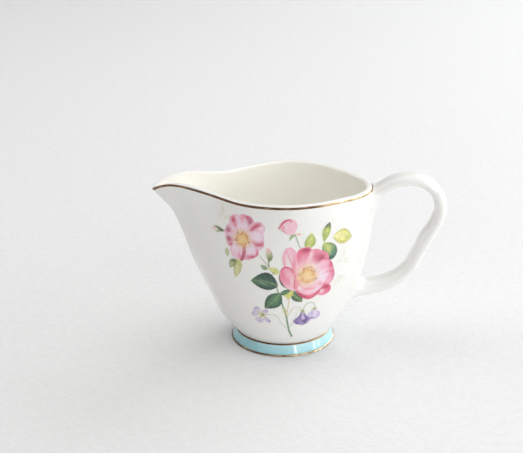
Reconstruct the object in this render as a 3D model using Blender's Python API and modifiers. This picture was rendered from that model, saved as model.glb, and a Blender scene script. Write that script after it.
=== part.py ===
"""Porcelain cream jug: cast body with a pouring lip, handle, foot ring, enamel band, gilding and print.

Frame: metres, +Z up, the foot ring stands on Z = 0. The spout points to -X and the handle to +X.
The jug is symmetric about the XZ plane. The vertical axis of the foot is at X = AXIS_X.
Lengths below are in millimetres and are turned into metres where the geometry is made.
"""
import math

import bmesh
import bpy
import numpy as np

MM = 0.001

# Overall placing: the foot axis, so that the spout tip and the handle are equally far from X = 0
AXIS_X = -7.79

# Body, radii from the foot axis
WAIST_Z = 6.5
WAIST_RADIUS = 24.3
RIM_Z = 81.0
OVAL_HALF_LENGTH = 45.0
OVAL_HALF_WIDTH = 33.8
WALL = 3.0
WALL_AT_SPOUT = 2.3
SPOUT_STARTS_AT = 0.8
MOST_SLANT = 1.9
INNER_WALL_FOOT = 0.12
FLOOR_Z = 10.5
FLOOR_CORNER = 0.3
FLOOR_FLAT = 0.4
LIP_CROWN = 1.0

# Half of the rim seen from above, from the spout tip round to the handle: distance along, half width
RIM_OUTLINE = [
    (-64.6, 0.0), (-63.4, 2.3), (-60.2, 4.7), (-56.0, 6.7), (-50.0, 9.6), (-43.0, 12.5), (-36.0, 15.4),
    (-30.0, 19.0), (-24.0, 23.6), (-16.0, 28.4), (-6.0, 32.2), (4.0, 33.5), (13.0, 31.6), (21.0, 28.0),
    (28.0, 23.2), (34.2, 18.1), (39.2, 12.3), (42.5, 6.2), (43.4, 0.0)]
# Height of the rim edge along the jug: the spout lip rises and then droops at its tip
RIM_HEIGHTS = [
    (-64.6, 79.5), (-62.6, 81.2), (-58.5, 83.2), (-51.0, 84.2), (-43.0, 83.4), (-34.0, 81.9),
    (-24.0, 81.1), (-12.0, 81.3), (4.0, 82.0), (18.0, 82.0), (32.0, 81.4), (43.4, 80.6)]
# How far the cup has opened from the waist circle to the oval, against height (both 0 to 1)
CUP_PROFILE = [(0.0, 0.0), (0.1, 0.325), (0.23, 0.572), (0.4, 0.79), (0.6, 0.916), (0.8, 0.985), (1.0, 1.0)]
CUP_START_SLOPE = 3.95
CUP_END_SLOPE = 0.05
# Extra radius straight under the handle, against height (0 to 1)
HANDLE_SIDE_PROFILE = [
    (0.0, 0.0), (0.1, -0.8), (0.2, -1.3), (0.35, -1.3), (0.5, -0.5), (0.65, 0.0), (0.8, 0.15), (1.0, 0.0)]
HANDLE_SIDE_SLOPES = (-9.0, -0.5)
# How far the oval has turned into the spouted rim outline, against height (both 0 to 1)
SPOUT_PROFILE = [
    (0.0, 0.0), (0.2, 0.004), (0.35, 0.045), (0.5, 0.155), (0.65, 0.28), (0.76, 0.385), (0.85, 0.53),
    (0.91, 0.70), (0.96, 0.88), (1.0, 1.0)]
SPOUT_END_SLOPE = 2.2

# Foot ring under the waist
FOOT_TOP_Z = 6.2
FOOT_TOP_RADIUS = 23.9
FOOT_BASE_RADIUS = 25.7
FOOT_INNER_RADIUS = 21.2
FOOT_REST_INNER = 22.6
FOOT_REST_OUTER = 25.2
FOOT_EDGE = 0.6
FOOT_HOLLOW_EDGE = 1.4
GAP = 0.15
ENAMEL = 0.35
BAND_BASE_Z = 1.0
BAND_TOP_Z = 5.3
FOOT_LINE = 0.7
BASE_LINE_Z = 0.15
TOP_LINE_Z = 5.45

# Gilding on the rim
RIM_LINE_HEIGHT = 1.0
RIM_LINE = 0.25

# Handle: centre line from the rim over the arch to the lower joint, with the section's scale there
HANDLE_PATH = [
    (41.0, 71.4, 1.12), (48.0, 79.2, 1.02), (59.6, 84.5, 0.98), (71.3, 81.7, 0.95), (77.5, 71.3, 1.0),
    (74.7, 59.8, 1.05), (71.1, 53.6, 1.15), (68.1, 47.4, 1.08), (62.2, 36.6, 1.08), (51.0, 29.2, 1.12),
    (34.8, 26.6, 1.35)]
HANDLE_WIDTH = 11.4
HANDLE_THICKNESS = 6.0
HANDLE_CORNER = 2.6
BODY_CLEARANCE = 0.3
CLEARANCE_RISE = 5.0

# Printed spray on each side: middle angle is square to the jug, half angle round it, and height range
PRINT_HALF_ANGLE = 50.0
PRINT_LOW = 0.06
PRINT_HIGH = 0.93
PRINT_FILM = 0.15

# Fineness of the meshes
AROUND_HALF = 40
OUTSIDE_RINGS = 21
INSIDE_RINGS = 15
TURNED_STEPS = 96
PRINT_CELLS = 16


def clear_scene():
    for thing in list(bpy.data.objects):
        bpy.data.objects.remove(thing, do_unlink=True)


def make_collection(name):
    group = bpy.data.collections.new(name)
    bpy.context.scene.collection.children.link(group)
    return group


def make_material(name, colour, roughness, metallic=0.0):
    finish = bpy.data.materials.new(name)
    finish.use_nodes = True
    shader = finish.node_tree.nodes["Principled BSDF"]
    shader.inputs["Base Color"].default_value = (*colour, 1.0)
    shader.inputs["Roughness"].default_value = roughness
    shader.inputs["Metallic"].default_value = metallic
    finish.diffuse_color = (*colour, 1.0)
    return finish


def spline(points, at, start_slope, end_slope):
    """Cubic spline through (x, y) points with its end slopes given, read at the values in `at`."""
    x, y = np.array(points, dtype=float).T
    step = np.diff(x)
    rise = np.diff(y) / step
    count = len(x)
    matrix = np.eye(count)
    right = np.zeros(count)
    right[0] = start_slope
    right[-1] = end_slope
    for i in range(1, count - 1):
        matrix[i, i - 1:i + 2] = step[i], 2 * (step[i] + step[i - 1]), step[i - 1]
        right[i] = 3 * (step[i] * rise[i - 1] + step[i - 1] * rise[i])
    slope = np.linalg.solve(matrix, right)
    k = np.clip(np.searchsorted(x, at, side="right") - 1, 0, count - 2)
    t = (at - x[k]) / step[k]
    return ((1 + 2 * t) * (1 - t) ** 2 * y[k] + t * (1 - t) ** 2 * step[k] * slope[k]
            + t * t * (3 - 2 * t) * y[k + 1] + t * t * (t - 1) * step[k] * slope[k + 1])


def rim_half(count):
    """Evenly spaced points along half of the rim outline, from spout tip to handle."""
    outline = np.array(RIM_OUTLINE)
    along = np.concatenate([[0.0], np.cumsum(np.hypot(*np.diff(outline, axis=0).T))])
    at = np.linspace(0.0, along[-1], count)
    x = spline(np.column_stack([along, outline[:, 0]]), at, 0.0, 0.0)
    y = spline(np.column_stack([along, outline[:, 1]]), at, 1.0, -1.0)
    y[0] = y[-1] = 0.0
    return x, y


def rim_loop(count):
    """The whole rim: angle round the foot axis, and distance from it."""
    x, y = rim_half(count)
    x = np.concatenate([x, x[-2:0:-1]])
    y = np.concatenate([y, -y[-2:0:-1]])
    return np.arctan2(y, x), np.hypot(x, y)


def rim_height(x):
    first, last = RIM_HEIGHTS[0][0], RIM_HEIGHTS[-1][0]
    return spline(RIM_HEIGHTS, np.clip(x, first, last), 1.0, 0.0)


def oval_radius(angle):
    return 1.0 / np.hypot(np.cos(angle) / OVAL_HALF_LENGTH, np.sin(angle) / OVAL_HALF_WIDTH)


def outer_radius(angle, rim_radius, level):
    """Outside radius at a level from 0 (waist) to 1 (rim edge)."""
    level = np.asarray(level, dtype=float)
    cup = spline(CUP_PROFILE, level, CUP_START_SLOPE, CUP_END_SLOPE)
    spout = spline(SPOUT_PROFILE, level, 0.0, SPOUT_END_SLOPE)
    oval = oval_radius(angle)
    under_handle = spline(HANDLE_SIDE_PROFILE, level, *HANDLE_SIDE_SLOPES) * np.maximum(np.cos(angle), 0.0) ** 2
    return WAIST_RADIUS + (oval - WAIST_RADIUS) * cup + (rim_radius - oval) * spout + under_handle


def place(angle, radius, height):
    """Points in metres from angle and radius round the foot axis, and height, in millimetres."""
    x = AXIS_X + radius * np.cos(angle)
    y = radius * np.sin(angle)
    return np.column_stack([x, y, np.broadcast_to(height, x.shape)]) * MM


def outer_ring(angle, rim_radius, level):
    top = rim_height(rim_radius * np.cos(angle))
    return place(angle, outer_radius(angle, rim_radius, level), WAIST_Z + (top - WAIST_Z) * level)


def outside_levels():
    """Levels of the body's outside rings, closer together near the waist."""
    return 1.0 - np.linspace(1.0, 0.0, OUTSIDE_RINGS) ** 1.25


def wall_in_section(angle, radius, thickness):
    """Wall measured along the radius, so that it stays `thickness` across where the outline slants."""
    turn = np.gradient(np.concatenate([radius[-3:], radius, radius[:3]]))[3:-3]
    sweep = np.gradient(np.unwrap(np.concatenate([angle[-3:], angle, angle[:3]])))[3:-3]
    slant = np.hypot(1.0, turn / (sweep * radius))
    return thickness * np.minimum(slant, MOST_SLANT)


def inner_ring(angle, rim_radius, level):
    radius = outer_radius(angle, rim_radius, level)
    toward_spout = np.clip((-np.cos(angle) - SPOUT_STARTS_AT) / (1.0 - SPOUT_STARTS_AT), 0.0, 1.0)
    thickness = WALL + (WALL_AT_SPOUT - WALL) * toward_spout * level ** 2
    top = rim_height(rim_radius * np.cos(angle))
    height = WAIST_Z + (top - WAIST_Z) * level
    return place(angle, radius - wall_in_section(angle, radius, thickness), height)


def build_loft(name, rings, closed=False):
    """Quads between rings of equal length; the ends are capped unless the rings close on themselves."""
    shape = bmesh.new()
    rows = [[shape.verts.new(point) for point in ring] for ring in rings]
    pairs = list(zip(rows, rows[1:]))
    if closed:
        pairs.append((rows[-1], rows[0]))
    for lower, upper in pairs:
        for i in range(len(lower)):
            j = (i + 1) % len(lower)
            shape.faces.new((lower[i], lower[j], upper[j], upper[i]))
    if not closed:
        shape.faces.new(reversed(rows[0]))
        shape.faces.new(rows[-1])
    bmesh.ops.recalc_face_normals(shape, faces=shape.faces)
    return finish_mesh(name, shape)


def finish_mesh(name, shape):
    mesh = bpy.data.meshes.new(name)
    shape.to_mesh(mesh)
    shape.free()
    return bpy.data.objects.new(name, mesh)


def add_part(group, thing, finish, sharp_angle=35.0):
    """Put an object in its collection with its material and smooth shading."""
    group.objects.link(thing)
    thing.data.materials.append(finish)
    thing.data.shade_smooth()
    thing.data.set_sharp_from_angle(angle=math.radians(sharp_angle))
    return thing


def build_body(group, finish):
    """The cast vessel: outside, rounded lip, inside and floor, as one closed wall."""
    angle, rim_radius = rim_loop(AROUND_HALF + 1)
    rings = [outer_ring(angle, rim_radius, level) for level in outside_levels()]
    edge_out, edge_in = rings[-1], inner_ring(angle, rim_radius, 1.0)
    middle, half = (edge_out + edge_in) / 2, (edge_out - edge_in) / 2
    for turn in np.radians([45.0, 90.0, 135.0]):
        rise = np.array([0.0, 0.0, LIP_CROWN * MM * math.sin(turn)])
        rings.append(middle + half * math.cos(turn) + rise)
    for level in np.linspace(1.0, INNER_WALL_FOOT, INSIDE_RINGS):
        rings.append(inner_ring(angle, rim_radius, level))
    rings += floor_rings(rings[-1])
    return add_part(group, build_loft("jug_body", rings), finish)


def floor_rings(wall_foot):
    """Rings that round the inside wall into a flat floor."""
    centre = np.array([AXIS_X * MM, 0.0, 0.0])
    rings = []
    for turn in np.radians([30.0, 60.0, 90.0]):
        shrink = 1.0 - FLOOR_CORNER * (1.0 - math.cos(turn))
        ring = centre + (wall_foot - centre) * [shrink, shrink, 1.0]
        ring[:, 2] += (FLOOR_Z * MM - ring[:, 2]) * math.sin(turn)
        rings.append(ring)
    rings.append(centre + (rings[-1] - centre) * [FLOOR_FLAT, FLOOR_FLAT, 1.0])
    return rings


def build_clearance(group):
    """Cutter: the outside of the body, carried up past the lip and grown by a small clearance."""
    angle, rim_radius = rim_loop(AROUND_HALF + 1)
    rings = [outer_ring(angle, rim_radius, level) for level in outside_levels()]
    rings.append(rings[-1] + [0.0, 0.0, CLEARANCE_RISE * MM])
    cutter = build_loft("body_clearance", rings)
    group.objects.link(cutter)
    grow = cutter.modifiers.new("clearance", "DISPLACE")
    grow.mid_level = 0.0
    grow.strength = BODY_CLEARANCE * MM
    cutter.display_type = "WIRE"
    cutter.hide_render = True
    return cutter


def handle_section():
    """Closed curve of the strap's section: a rounded rectangle, wide across the jug."""
    curve = bpy.data.curves.new("handle_section", "CURVE")
    outline = curve.splines.new("POLY")
    corners = []
    across = HANDLE_WIDTH / 2 - HANDLE_CORNER
    through = HANDLE_THICKNESS / 2 - HANDLE_CORNER
    for side, start in (((1, 1), 0), ((-1, 1), 90), ((-1, -1), 180), ((1, -1), 270)):
        for turn in np.radians(np.linspace(start, start + 90, 5)):
            corners.append((side[0] * through + HANDLE_CORNER * math.cos(turn),
                            side[1] * across + HANDLE_CORNER * math.sin(turn)))
    outline.points.add(len(corners) - 1)
    for point, (through_at, across_at) in zip(outline.points, corners):
        point.co = (across_at * MM, through_at * MM, 0.0, 1.0)
    outline.use_cyclic_u = True
    return bpy.data.objects.new("handle_section", curve)


def build_handle(parts, cutters, finish, clearance):
    """Looped strap swept along its centre line, trimmed just clear of the body at both ends."""
    section = handle_section()
    cutters.objects.link(section)
    curve = bpy.data.curves.new("handle_path", "CURVE")
    curve.dimensions = "3D"
    curve.resolution_u = 6
    curve.bevel_mode = "OBJECT"
    curve.bevel_object = section
    curve.use_fill_caps = True
    path = curve.splines.new("BEZIER")
    path.bezier_points.add(len(HANDLE_PATH) - 1)
    for knot, (along, height, scale) in zip(path.bezier_points, HANDLE_PATH):
        knot.co = ((AXIS_X + along) * MM, 0.0, height * MM)
        knot.handle_left_type = knot.handle_right_type = "AUTO"
        knot.radius = scale
    sweep = bpy.data.objects.new("handle_path", curve)
    cutters.objects.link(sweep)
    bpy.context.view_layer.update()
    evaluated = sweep.evaluated_get(bpy.context.evaluated_depsgraph_get())
    strap = bpy.data.objects.new("handle", bpy.data.meshes.new_from_object(evaluated))
    strap.matrix_world = sweep.matrix_world
    bpy.data.objects.remove(sweep)
    bpy.data.objects.remove(section)
    shape = bmesh.new()
    shape.from_mesh(strap.data)
    bmesh.ops.remove_doubles(shape, verts=shape.verts, dist=0.00001)
    bmesh.ops.recalc_face_normals(shape, faces=shape.faces)
    shape.to_mesh(strap.data)
    shape.free()
    strap.data.materials.clear()
    add_part(parts, strap, finish)
    trim = strap.modifiers.new("trim_to_body", "BOOLEAN")
    trim.operation = "DIFFERENCE"
    trim.solver = "EXACT"
    trim.object = clearance
    return strap


def build_turned(group, name, profile, finish):
    """A turned ring: a closed profile of (radius, height) points, spun round the foot axis."""
    shape = bmesh.new()
    points = [shape.verts.new((radius * MM, 0.0, height * MM)) for radius, height in profile]
    for first, second in zip(points, points[1:] + points[:1]):
        shape.edges.new((first, second))
    ring = finish_mesh(name, shape)
    ring.location = (AXIS_X * MM, 0.0, 0.0)
    group.objects.link(ring)
    ring.data.materials.append(finish)
    spin = ring.modifiers.new("spin", "SCREW")
    spin.steps = spin.render_steps = TURNED_STEPS
    spin.use_merge_vertices = True
    spin.merge_threshold = 0.0001
    spin.use_smooth_shade = True
    return ring


def foot_radius(height):
    """Outside radius of the bare foot, which flares outwards to the table."""
    return FOOT_TOP_RADIUS + (FOOT_BASE_RADIUS - FOOT_TOP_RADIUS) * (1.0 - height / FOOT_TOP_Z)


def build_foot(group, finish):
    profile = [
        (FOOT_TOP_RADIUS, FOOT_TOP_Z), (foot_radius(FOOT_EDGE), FOOT_EDGE), (FOOT_REST_OUTER, 0.0),
        (FOOT_REST_INNER, 0.0), (FOOT_INNER_RADIUS, FOOT_HOLLOW_EDGE), (FOOT_INNER_RADIUS, FOOT_TOP_Z)]
    return build_turned(group, "foot_ring", profile, finish)


def build_sleeve(group, name, low, high, film, finish):
    """A thin ring of enamel or gold lying round the foot between two heights."""
    top, base = foot_radius(high) + GAP, foot_radius(low) + GAP
    profile = [(top + film, high), (base + film, low), (base, low), (top, high)]
    return build_turned(group, name, profile, finish)


def build_rim_line(group, finish):
    """Thin gold line round the outside of the rim edge, spout tip included."""
    angle, rim_radius = rim_loop(AROUND_HALF + 1)
    edge = outer_ring(angle, rim_radius, 1.0)
    below = outer_ring(angle, rim_radius, 1.0 - RIM_LINE_HEIGHT / (RIM_Z - WAIST_Z))
    away = outward(edge)
    near, far = GAP * MM, (GAP + RIM_LINE) * MM
    rings = [below + away * near, below + away * far, edge + away * far, edge + away * near]
    return add_part(group, build_loft("rim_gilding", rings, closed=True), finish)


def outward(loop):
    """Unit vectors that point out of a closed loop, level with the table."""
    along = np.roll(loop, -1, axis=0) - np.roll(loop, 1, axis=0)
    normal = np.column_stack([along[:, 1], -along[:, 0], np.zeros(len(loop))])
    normal /= np.linalg.norm(normal, axis=1)[:, None]
    middle = loop.mean(axis=0)
    if np.sum((loop - middle) * normal) < 0:
        normal = -normal
    return normal


def build_print(group, name, middle_angle, finish):
    """Film that carries one printed spray: a rounded patch lying on the side of the body."""
    rim_angle, rim_radius = rim_loop(241)
    order = np.argsort(rim_angle)
    middle_level, half_level = (PRINT_HIGH + PRINT_LOW) / 2, (PRINT_HIGH - PRINT_LOW) / 2
    shape = bmesh.new()
    rows = []
    u = np.linspace(-1.0, 1.0, PRINT_CELLS + 1)
    for v in u:
        angle = np.radians(middle_angle + PRINT_HALF_ANGLE * u * math.sqrt(1.0 - v * v / 2))
        level = middle_level + half_level * v * np.sqrt(1.0 - u * u / 2)
        radius = np.interp(angle, rim_angle[order], rim_radius[order])
        rows.append([shape.verts.new(point) for point in outer_ring(angle, radius, level)])
    for lower, upper in zip(rows, rows[1:]):
        for i in range(PRINT_CELLS):
            shape.faces.new((lower[i], lower[i + 1], upper[i + 1], upper[i]))
    bmesh.ops.recalc_face_normals(shape, faces=shape.faces)
    film = add_part(group, finish_mesh(name, shape), finish, 60.0)
    lift = film.modifiers.new("lift_off_glaze", "DISPLACE")
    lift.mid_level = 0.0
    lift.strength = GAP * MM
    body = film.modifiers.new("film", "SOLIDIFY")
    body.thickness = PRINT_FILM * MM
    body.offset = 1.0
    return film


def main():
    clear_scene()
    parts = make_collection("cream_jug")
    cutters = make_collection("cutters")
    clearance = build_clearance(cutters)
    build_body(parts, make_material("body_glaze", (0.86, 0.85, 0.81), 0.12))
    build_handle(parts, cutters, make_material("handle_glaze", (0.86, 0.85, 0.81), 0.12), clearance)
    build_foot(parts, make_material("foot_glaze", (0.86, 0.85, 0.81), 0.15))
    build_sleeve(parts, "foot_band", BAND_BASE_Z, BAND_TOP_Z, ENAMEL,
                 make_material("band_enamel", (0.42, 0.74, 0.78), 0.15))
    build_sleeve(parts, "foot_top_gilding", TOP_LINE_Z, TOP_LINE_Z + FOOT_LINE, ENAMEL,
                 make_material("foot_top_gold", (0.55, 0.36, 0.17), 0.25, 1.0))
    build_sleeve(parts, "foot_base_gilding", BASE_LINE_Z, BASE_LINE_Z + FOOT_LINE, ENAMEL,
                 make_material("foot_base_gold", (0.55, 0.36, 0.17), 0.25, 1.0))
    build_rim_line(parts, make_material("rim_gold", (0.55, 0.36, 0.17), 0.25, 1.0))
    build_print(parts, "front_print", -90.0, make_material("front_print_ink", (0.80, 0.42, 0.48), 0.15))
    build_print(parts, "back_print", 90.0, make_material("back_print_ink", (0.80, 0.42, 0.48), 0.15))


main()
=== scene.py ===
"""Looks for the porcelain cream jug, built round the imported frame.

Lengths are in millimetres until a mesh is made, and every radius is measured from the axis of the foot.
The spout points to -X and the handle to +X; the front of the jug, toward the camera, is -Y.
"""
import math

import bpy
import numpy as np
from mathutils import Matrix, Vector


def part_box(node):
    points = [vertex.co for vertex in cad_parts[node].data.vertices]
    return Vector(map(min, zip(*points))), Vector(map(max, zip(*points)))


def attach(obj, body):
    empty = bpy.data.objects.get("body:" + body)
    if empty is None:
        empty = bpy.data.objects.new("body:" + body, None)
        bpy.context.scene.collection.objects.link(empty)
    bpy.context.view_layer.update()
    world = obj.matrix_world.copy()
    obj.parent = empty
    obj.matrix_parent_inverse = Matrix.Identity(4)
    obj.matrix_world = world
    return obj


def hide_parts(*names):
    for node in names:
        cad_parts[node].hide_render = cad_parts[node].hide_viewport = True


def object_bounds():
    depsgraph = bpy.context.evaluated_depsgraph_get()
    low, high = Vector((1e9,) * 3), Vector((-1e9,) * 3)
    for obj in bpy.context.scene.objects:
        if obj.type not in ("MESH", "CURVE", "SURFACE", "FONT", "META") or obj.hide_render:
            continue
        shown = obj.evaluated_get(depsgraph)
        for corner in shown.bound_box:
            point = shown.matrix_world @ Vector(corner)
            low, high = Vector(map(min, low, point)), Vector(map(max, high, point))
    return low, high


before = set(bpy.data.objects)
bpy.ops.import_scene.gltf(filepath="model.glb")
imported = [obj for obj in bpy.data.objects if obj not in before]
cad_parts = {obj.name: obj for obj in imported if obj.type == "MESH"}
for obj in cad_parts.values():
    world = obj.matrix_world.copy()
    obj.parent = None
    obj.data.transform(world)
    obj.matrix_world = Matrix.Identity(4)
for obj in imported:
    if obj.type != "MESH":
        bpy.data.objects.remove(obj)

cad_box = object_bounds()

MM = 0.001
foot_low, foot_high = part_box("foot_ring")
body_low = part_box("jug_body")[0]
AXIS_X = (foot_low.x + foot_high.x) / 2 / MM
AXIS = np.array([AXIS_X, 0.0, 0.0])

# ------------------------------------------------------------------ the body's surface, as in the CAD
WAIST_Z = body_low.z / MM
WAIST_RADIUS = 24.3
OVAL_HALF_LENGTH = 45.0
OVAL_HALF_WIDTH = 33.8
WALL, WALL_AT_SPOUT = 3.0, 2.3
SPOUT_STARTS_AT = 0.8
MOST_SLANT = 1.9
INNER_WALL_FOOT = 0.12
FLOOR_Z = 10.5
FLOOR_CORNER = 0.3
LIP_CROWN = 1.0
RIM_OUTLINE = [
    (-64.6, 0.0), (-63.4, 2.3), (-60.2, 4.7), (-56.0, 6.7), (-50.0, 9.6), (-43.0, 12.5), (-36.0, 15.4),
    (-30.0, 19.0), (-24.0, 23.6), (-16.0, 28.4), (-6.0, 32.2), (4.0, 33.5), (13.0, 31.6), (21.0, 28.0),
    (28.0, 23.2), (34.2, 18.1), (39.2, 12.3), (42.5, 6.2), (43.4, 0.0)]
RIM_HEIGHTS = [
    (-64.6, 79.5), (-62.6, 81.2), (-58.5, 83.2), (-51.0, 84.2), (-43.0, 83.4), (-34.0, 81.9),
    (-24.0, 81.1), (-12.0, 81.3), (4.0, 82.0), (18.0, 82.0), (32.0, 81.4), (43.4, 80.6)]
CUP_PROFILE = [(0.0, 0.0), (0.1, 0.325), (0.23, 0.572), (0.4, 0.79), (0.6, 0.916), (0.8, 0.985), (1.0, 1.0)]
SPOUT_PROFILE = [
    (0.0, 0.0), (0.2, 0.004), (0.35, 0.045), (0.5, 0.155), (0.65, 0.28), (0.76, 0.385), (0.85, 0.53),
    (0.91, 0.70), (0.96, 0.88), (1.0, 1.0)]
# Extra radius straight under the handle, against height (0 to 1)
HANDLE_SIDE_PROFILE = [
    (0.0, 0.0), (0.1, -0.8), (0.2, -1.3), (0.35, -1.3), (0.5, -0.5), (0.65, 0.0), (0.8, 0.15), (1.0, 0.0)]
HANDLE_SIDE_SLOPES = (-9.0, -0.5)
CUP_SLOPES = (3.95, 0.05)
SPOUT_SLOPES = (0.0, 2.2)


def smooth(low, high, x):
    """0 below low, 1 above high, and an S curve between."""
    t = np.clip((x - low) / (high - low), 0.0, 1.0)
    return t * t * (3.0 - 2.0 * t)


def spline(points, at, start_slope, end_slope):
    """Cubic spline through (x, y) points with its end slopes given, read at the values in `at`."""
    x, y = np.array(points, dtype=float).T
    step = np.diff(x)
    rise = np.diff(y) / step
    matrix, right = np.eye(len(x)), np.zeros(len(x))
    right[0], right[-1] = start_slope, end_slope
    for i in range(1, len(x) - 1):
        matrix[i, i - 1:i + 2] = step[i], 2 * (step[i] + step[i - 1]), step[i - 1]
        right[i] = 3 * (step[i] * rise[i - 1] + step[i - 1] * rise[i])
    slope = np.linalg.solve(matrix, right)
    k = np.clip(np.searchsorted(x, at, side="right") - 1, 0, len(x) - 2)
    t = (at - x[k]) / step[k]
    return ((1 + 2 * t) * (1 - t) ** 2 * y[k] + t * (1 - t) ** 2 * step[k] * slope[k]
            + t * t * (3 - 2 * t) * y[k + 1] + t * t * (t - 1) * step[k] * slope[k + 1])


def rim_loop(count):
    """The rim from the spout tip all the way round: angle round the foot axis, and distance from it."""
    outline = np.array(RIM_OUTLINE)
    along = np.concatenate([[0.0], np.cumsum(np.hypot(*np.diff(outline, axis=0).T))])
    at = np.linspace(0.0, along[-1], count // 2 + 1)
    x = spline(np.column_stack([along, outline[:, 0]]), at, 0.0, 0.0)
    y = spline(np.column_stack([along, outline[:, 1]]), at, 1.0, -1.0)
    y[0] = y[-1] = 0.0
    x, y = np.concatenate([x, x[-2:0:-1]]), np.concatenate([y, -y[-2:0:-1]])
    return np.arctan2(y, x), np.hypot(x, y)


AROUND = 320
RIM_ANGLE, RIM_RADIUS = rim_loop(AROUND)
DENSE_ANGLE, DENSE_RADIUS = rim_loop(2400)
DENSE_ORDER = np.argsort(DENSE_ANGLE)


def rim_radius_at(angle):
    wrapped = np.arctan2(np.sin(angle), np.cos(angle))
    return np.interp(wrapped, DENSE_ANGLE[DENSE_ORDER], DENSE_RADIUS[DENSE_ORDER], period=2 * math.pi)


def outer_radius(angle, rim_radius, level):
    """Outside radius at a level from 0 (waist) to 1 (rim edge)."""
    level = np.asarray(level, dtype=float)
    oval = 1.0 / np.hypot(np.cos(angle) / OVAL_HALF_LENGTH, np.sin(angle) / OVAL_HALF_WIDTH)
    return (WAIST_RADIUS + (oval - WAIST_RADIUS) * spline(CUP_PROFILE, level, *CUP_SLOPES)
            + (rim_radius - oval) * spline(SPOUT_PROFILE, level, *SPOUT_SLOPES)
            + spline(HANDLE_SIDE_PROFILE, level, *HANDLE_SIDE_SLOPES) * np.maximum(np.cos(angle), 0.0) ** 2)


def height_at(angle, rim_radius, level):
    top = spline(RIM_HEIGHTS, np.clip(rim_radius * np.cos(angle), RIM_HEIGHTS[0][0], RIM_HEIGHTS[-1][0]),
        1.0, 0.0)
    return WAIST_Z + (top - WAIST_Z) * level


def place(angle, radius, height):
    return np.stack(np.broadcast_arrays(AXIS_X + radius * np.cos(angle), radius * np.sin(angle), height),
        -1)


def outer_point(angle, rim_radius, level):
    return place(angle, outer_radius(angle, rim_radius, level), height_at(angle, rim_radius, level))


def wall_in_section(radius, thickness):
    """Wall measured along the radius, so that it stays `thickness` across where the outline slants."""
    turn = np.gradient(np.concatenate([radius[-3:], radius, radius[:3]]))[3:-3]
    sweep = np.gradient(np.unwrap(np.concatenate([RIM_ANGLE[-3:], RIM_ANGLE, RIM_ANGLE[:3]])))[3:-3]
    return thickness * np.minimum(np.hypot(1.0, turn / (sweep * radius)), MOST_SLANT)


def inner_ring(level):
    radius = outer_radius(RIM_ANGLE, RIM_RADIUS, level)
    toward_spout = np.clip((-np.cos(RIM_ANGLE) - SPOUT_STARTS_AT) / (1.0 - SPOUT_STARTS_AT), 0.0, 1.0)
    thickness = WALL + (WALL_AT_SPOUT - WALL) * smooth(0.0, 1.0, toward_spout) * level ** 2
    return place(RIM_ANGLE, radius - wall_in_section(radius, thickness),
        height_at(RIM_ANGLE, RIM_RADIUS, level))


# ------------------------------------------------------------------ meshes and materials in general
def make_mesh(name, points, faces, material, stands_for):
    """A smooth-shaded piece from points in millimetres, which replaces its CAD nodes."""
    mesh = bpy.data.meshes.new(name)
    mesh.from_pydata((np.asarray(points) * MM).tolist(), [], faces)
    mesh.validate()
    mesh.shade_smooth()
    mesh.materials.append(material)
    thing = bpy.data.objects.new(name, mesh)
    bpy.context.scene.collection.objects.link(thing)
    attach(thing, "root")
    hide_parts(*stands_for)
    return thing


def grid_faces(rows, columns, close_rows=False, start=0):
    """Quads between rows of points that each close on themselves."""
    i = np.arange(rows if close_rows else rows - 1)[:, None]
    j = np.arange(columns)[None, :]
    up, right = (i + 1) % rows, (j + 1) % columns
    corners = [i * columns + j, i * columns + right, up * columns + right, up * columns + j]
    return (np.stack(corners, -1).reshape(-1, 4) + start).tolist()


def loft(rings, close_rows=False, caps=True):
    """Points and faces of a skin over rings of equal length; open ends are filled with fans."""
    rings = [np.asarray(ring) for ring in rings]
    points, columns = np.concatenate(rings), len(rings[0])
    faces = grid_faces(len(rings), columns, close_rows)
    if caps and not close_rows:
        centres = np.array([rings[0].mean(0), rings[-1].mean(0)])
        last = (len(rings) - 1) * columns
        for j in range(columns):
            k = (j + 1) % columns
            faces.append([len(points), k, j])
            faces.append([len(points) + 1, last + j, last + k])
        points = np.concatenate([points, centres])
    return points, faces


def turned(profile, steps=256):
    """A closed (radius, height) profile spun round the foot axis."""
    angle = np.arange(steps) * 2 * math.pi / steps
    return loft([place(angle, radius, height) for radius, height in profile], close_rows=True)


def new_material(name):
    material = bpy.data.materials.new(name)
    material.use_nodes = True
    tree = material.node_tree
    return material, tree, tree.nodes["Principled BSDF"]


def add(tree, kind, **settings):
    node = tree.nodes.new(kind)
    for key, value in settings.items():
        if key in node.inputs:
            node.inputs[key].default_value = value
        else:
            setattr(node, key, value)
    return node


def noise_node(tree, scale, detail=2.0, roughness=0.5):
    """Noise in object space, so that it stays the same size on every piece."""
    where = tree.nodes.get("where") or add(tree, "ShaderNodeTexCoord", name="where")
    node = add(tree, "ShaderNodeTexNoise", Scale=scale, Detail=detail, Roughness=roughness)
    tree.links.new(where.outputs["Object"], node.inputs["Vector"])
    return node.outputs["Fac"]


def ramp(tree, value, stops):
    """Colour ramp: stops are (position, (r, g, b)) or (position, grey)."""
    node = add(tree, "ShaderNodeValToRGB")
    node.color_ramp.interpolation = "EASE"
    while len(node.color_ramp.elements) < len(stops):
        node.color_ramp.elements.new(0.5)
    for element, (position, colour) in zip(node.color_ramp.elements, stops):
        element.position = position
        element.color = (*colour, 1.0) if np.ndim(colour) else (colour, colour, colour, 1.0)
    tree.links.new(value, node.inputs["Fac"])
    return node.outputs["Color"]


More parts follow.
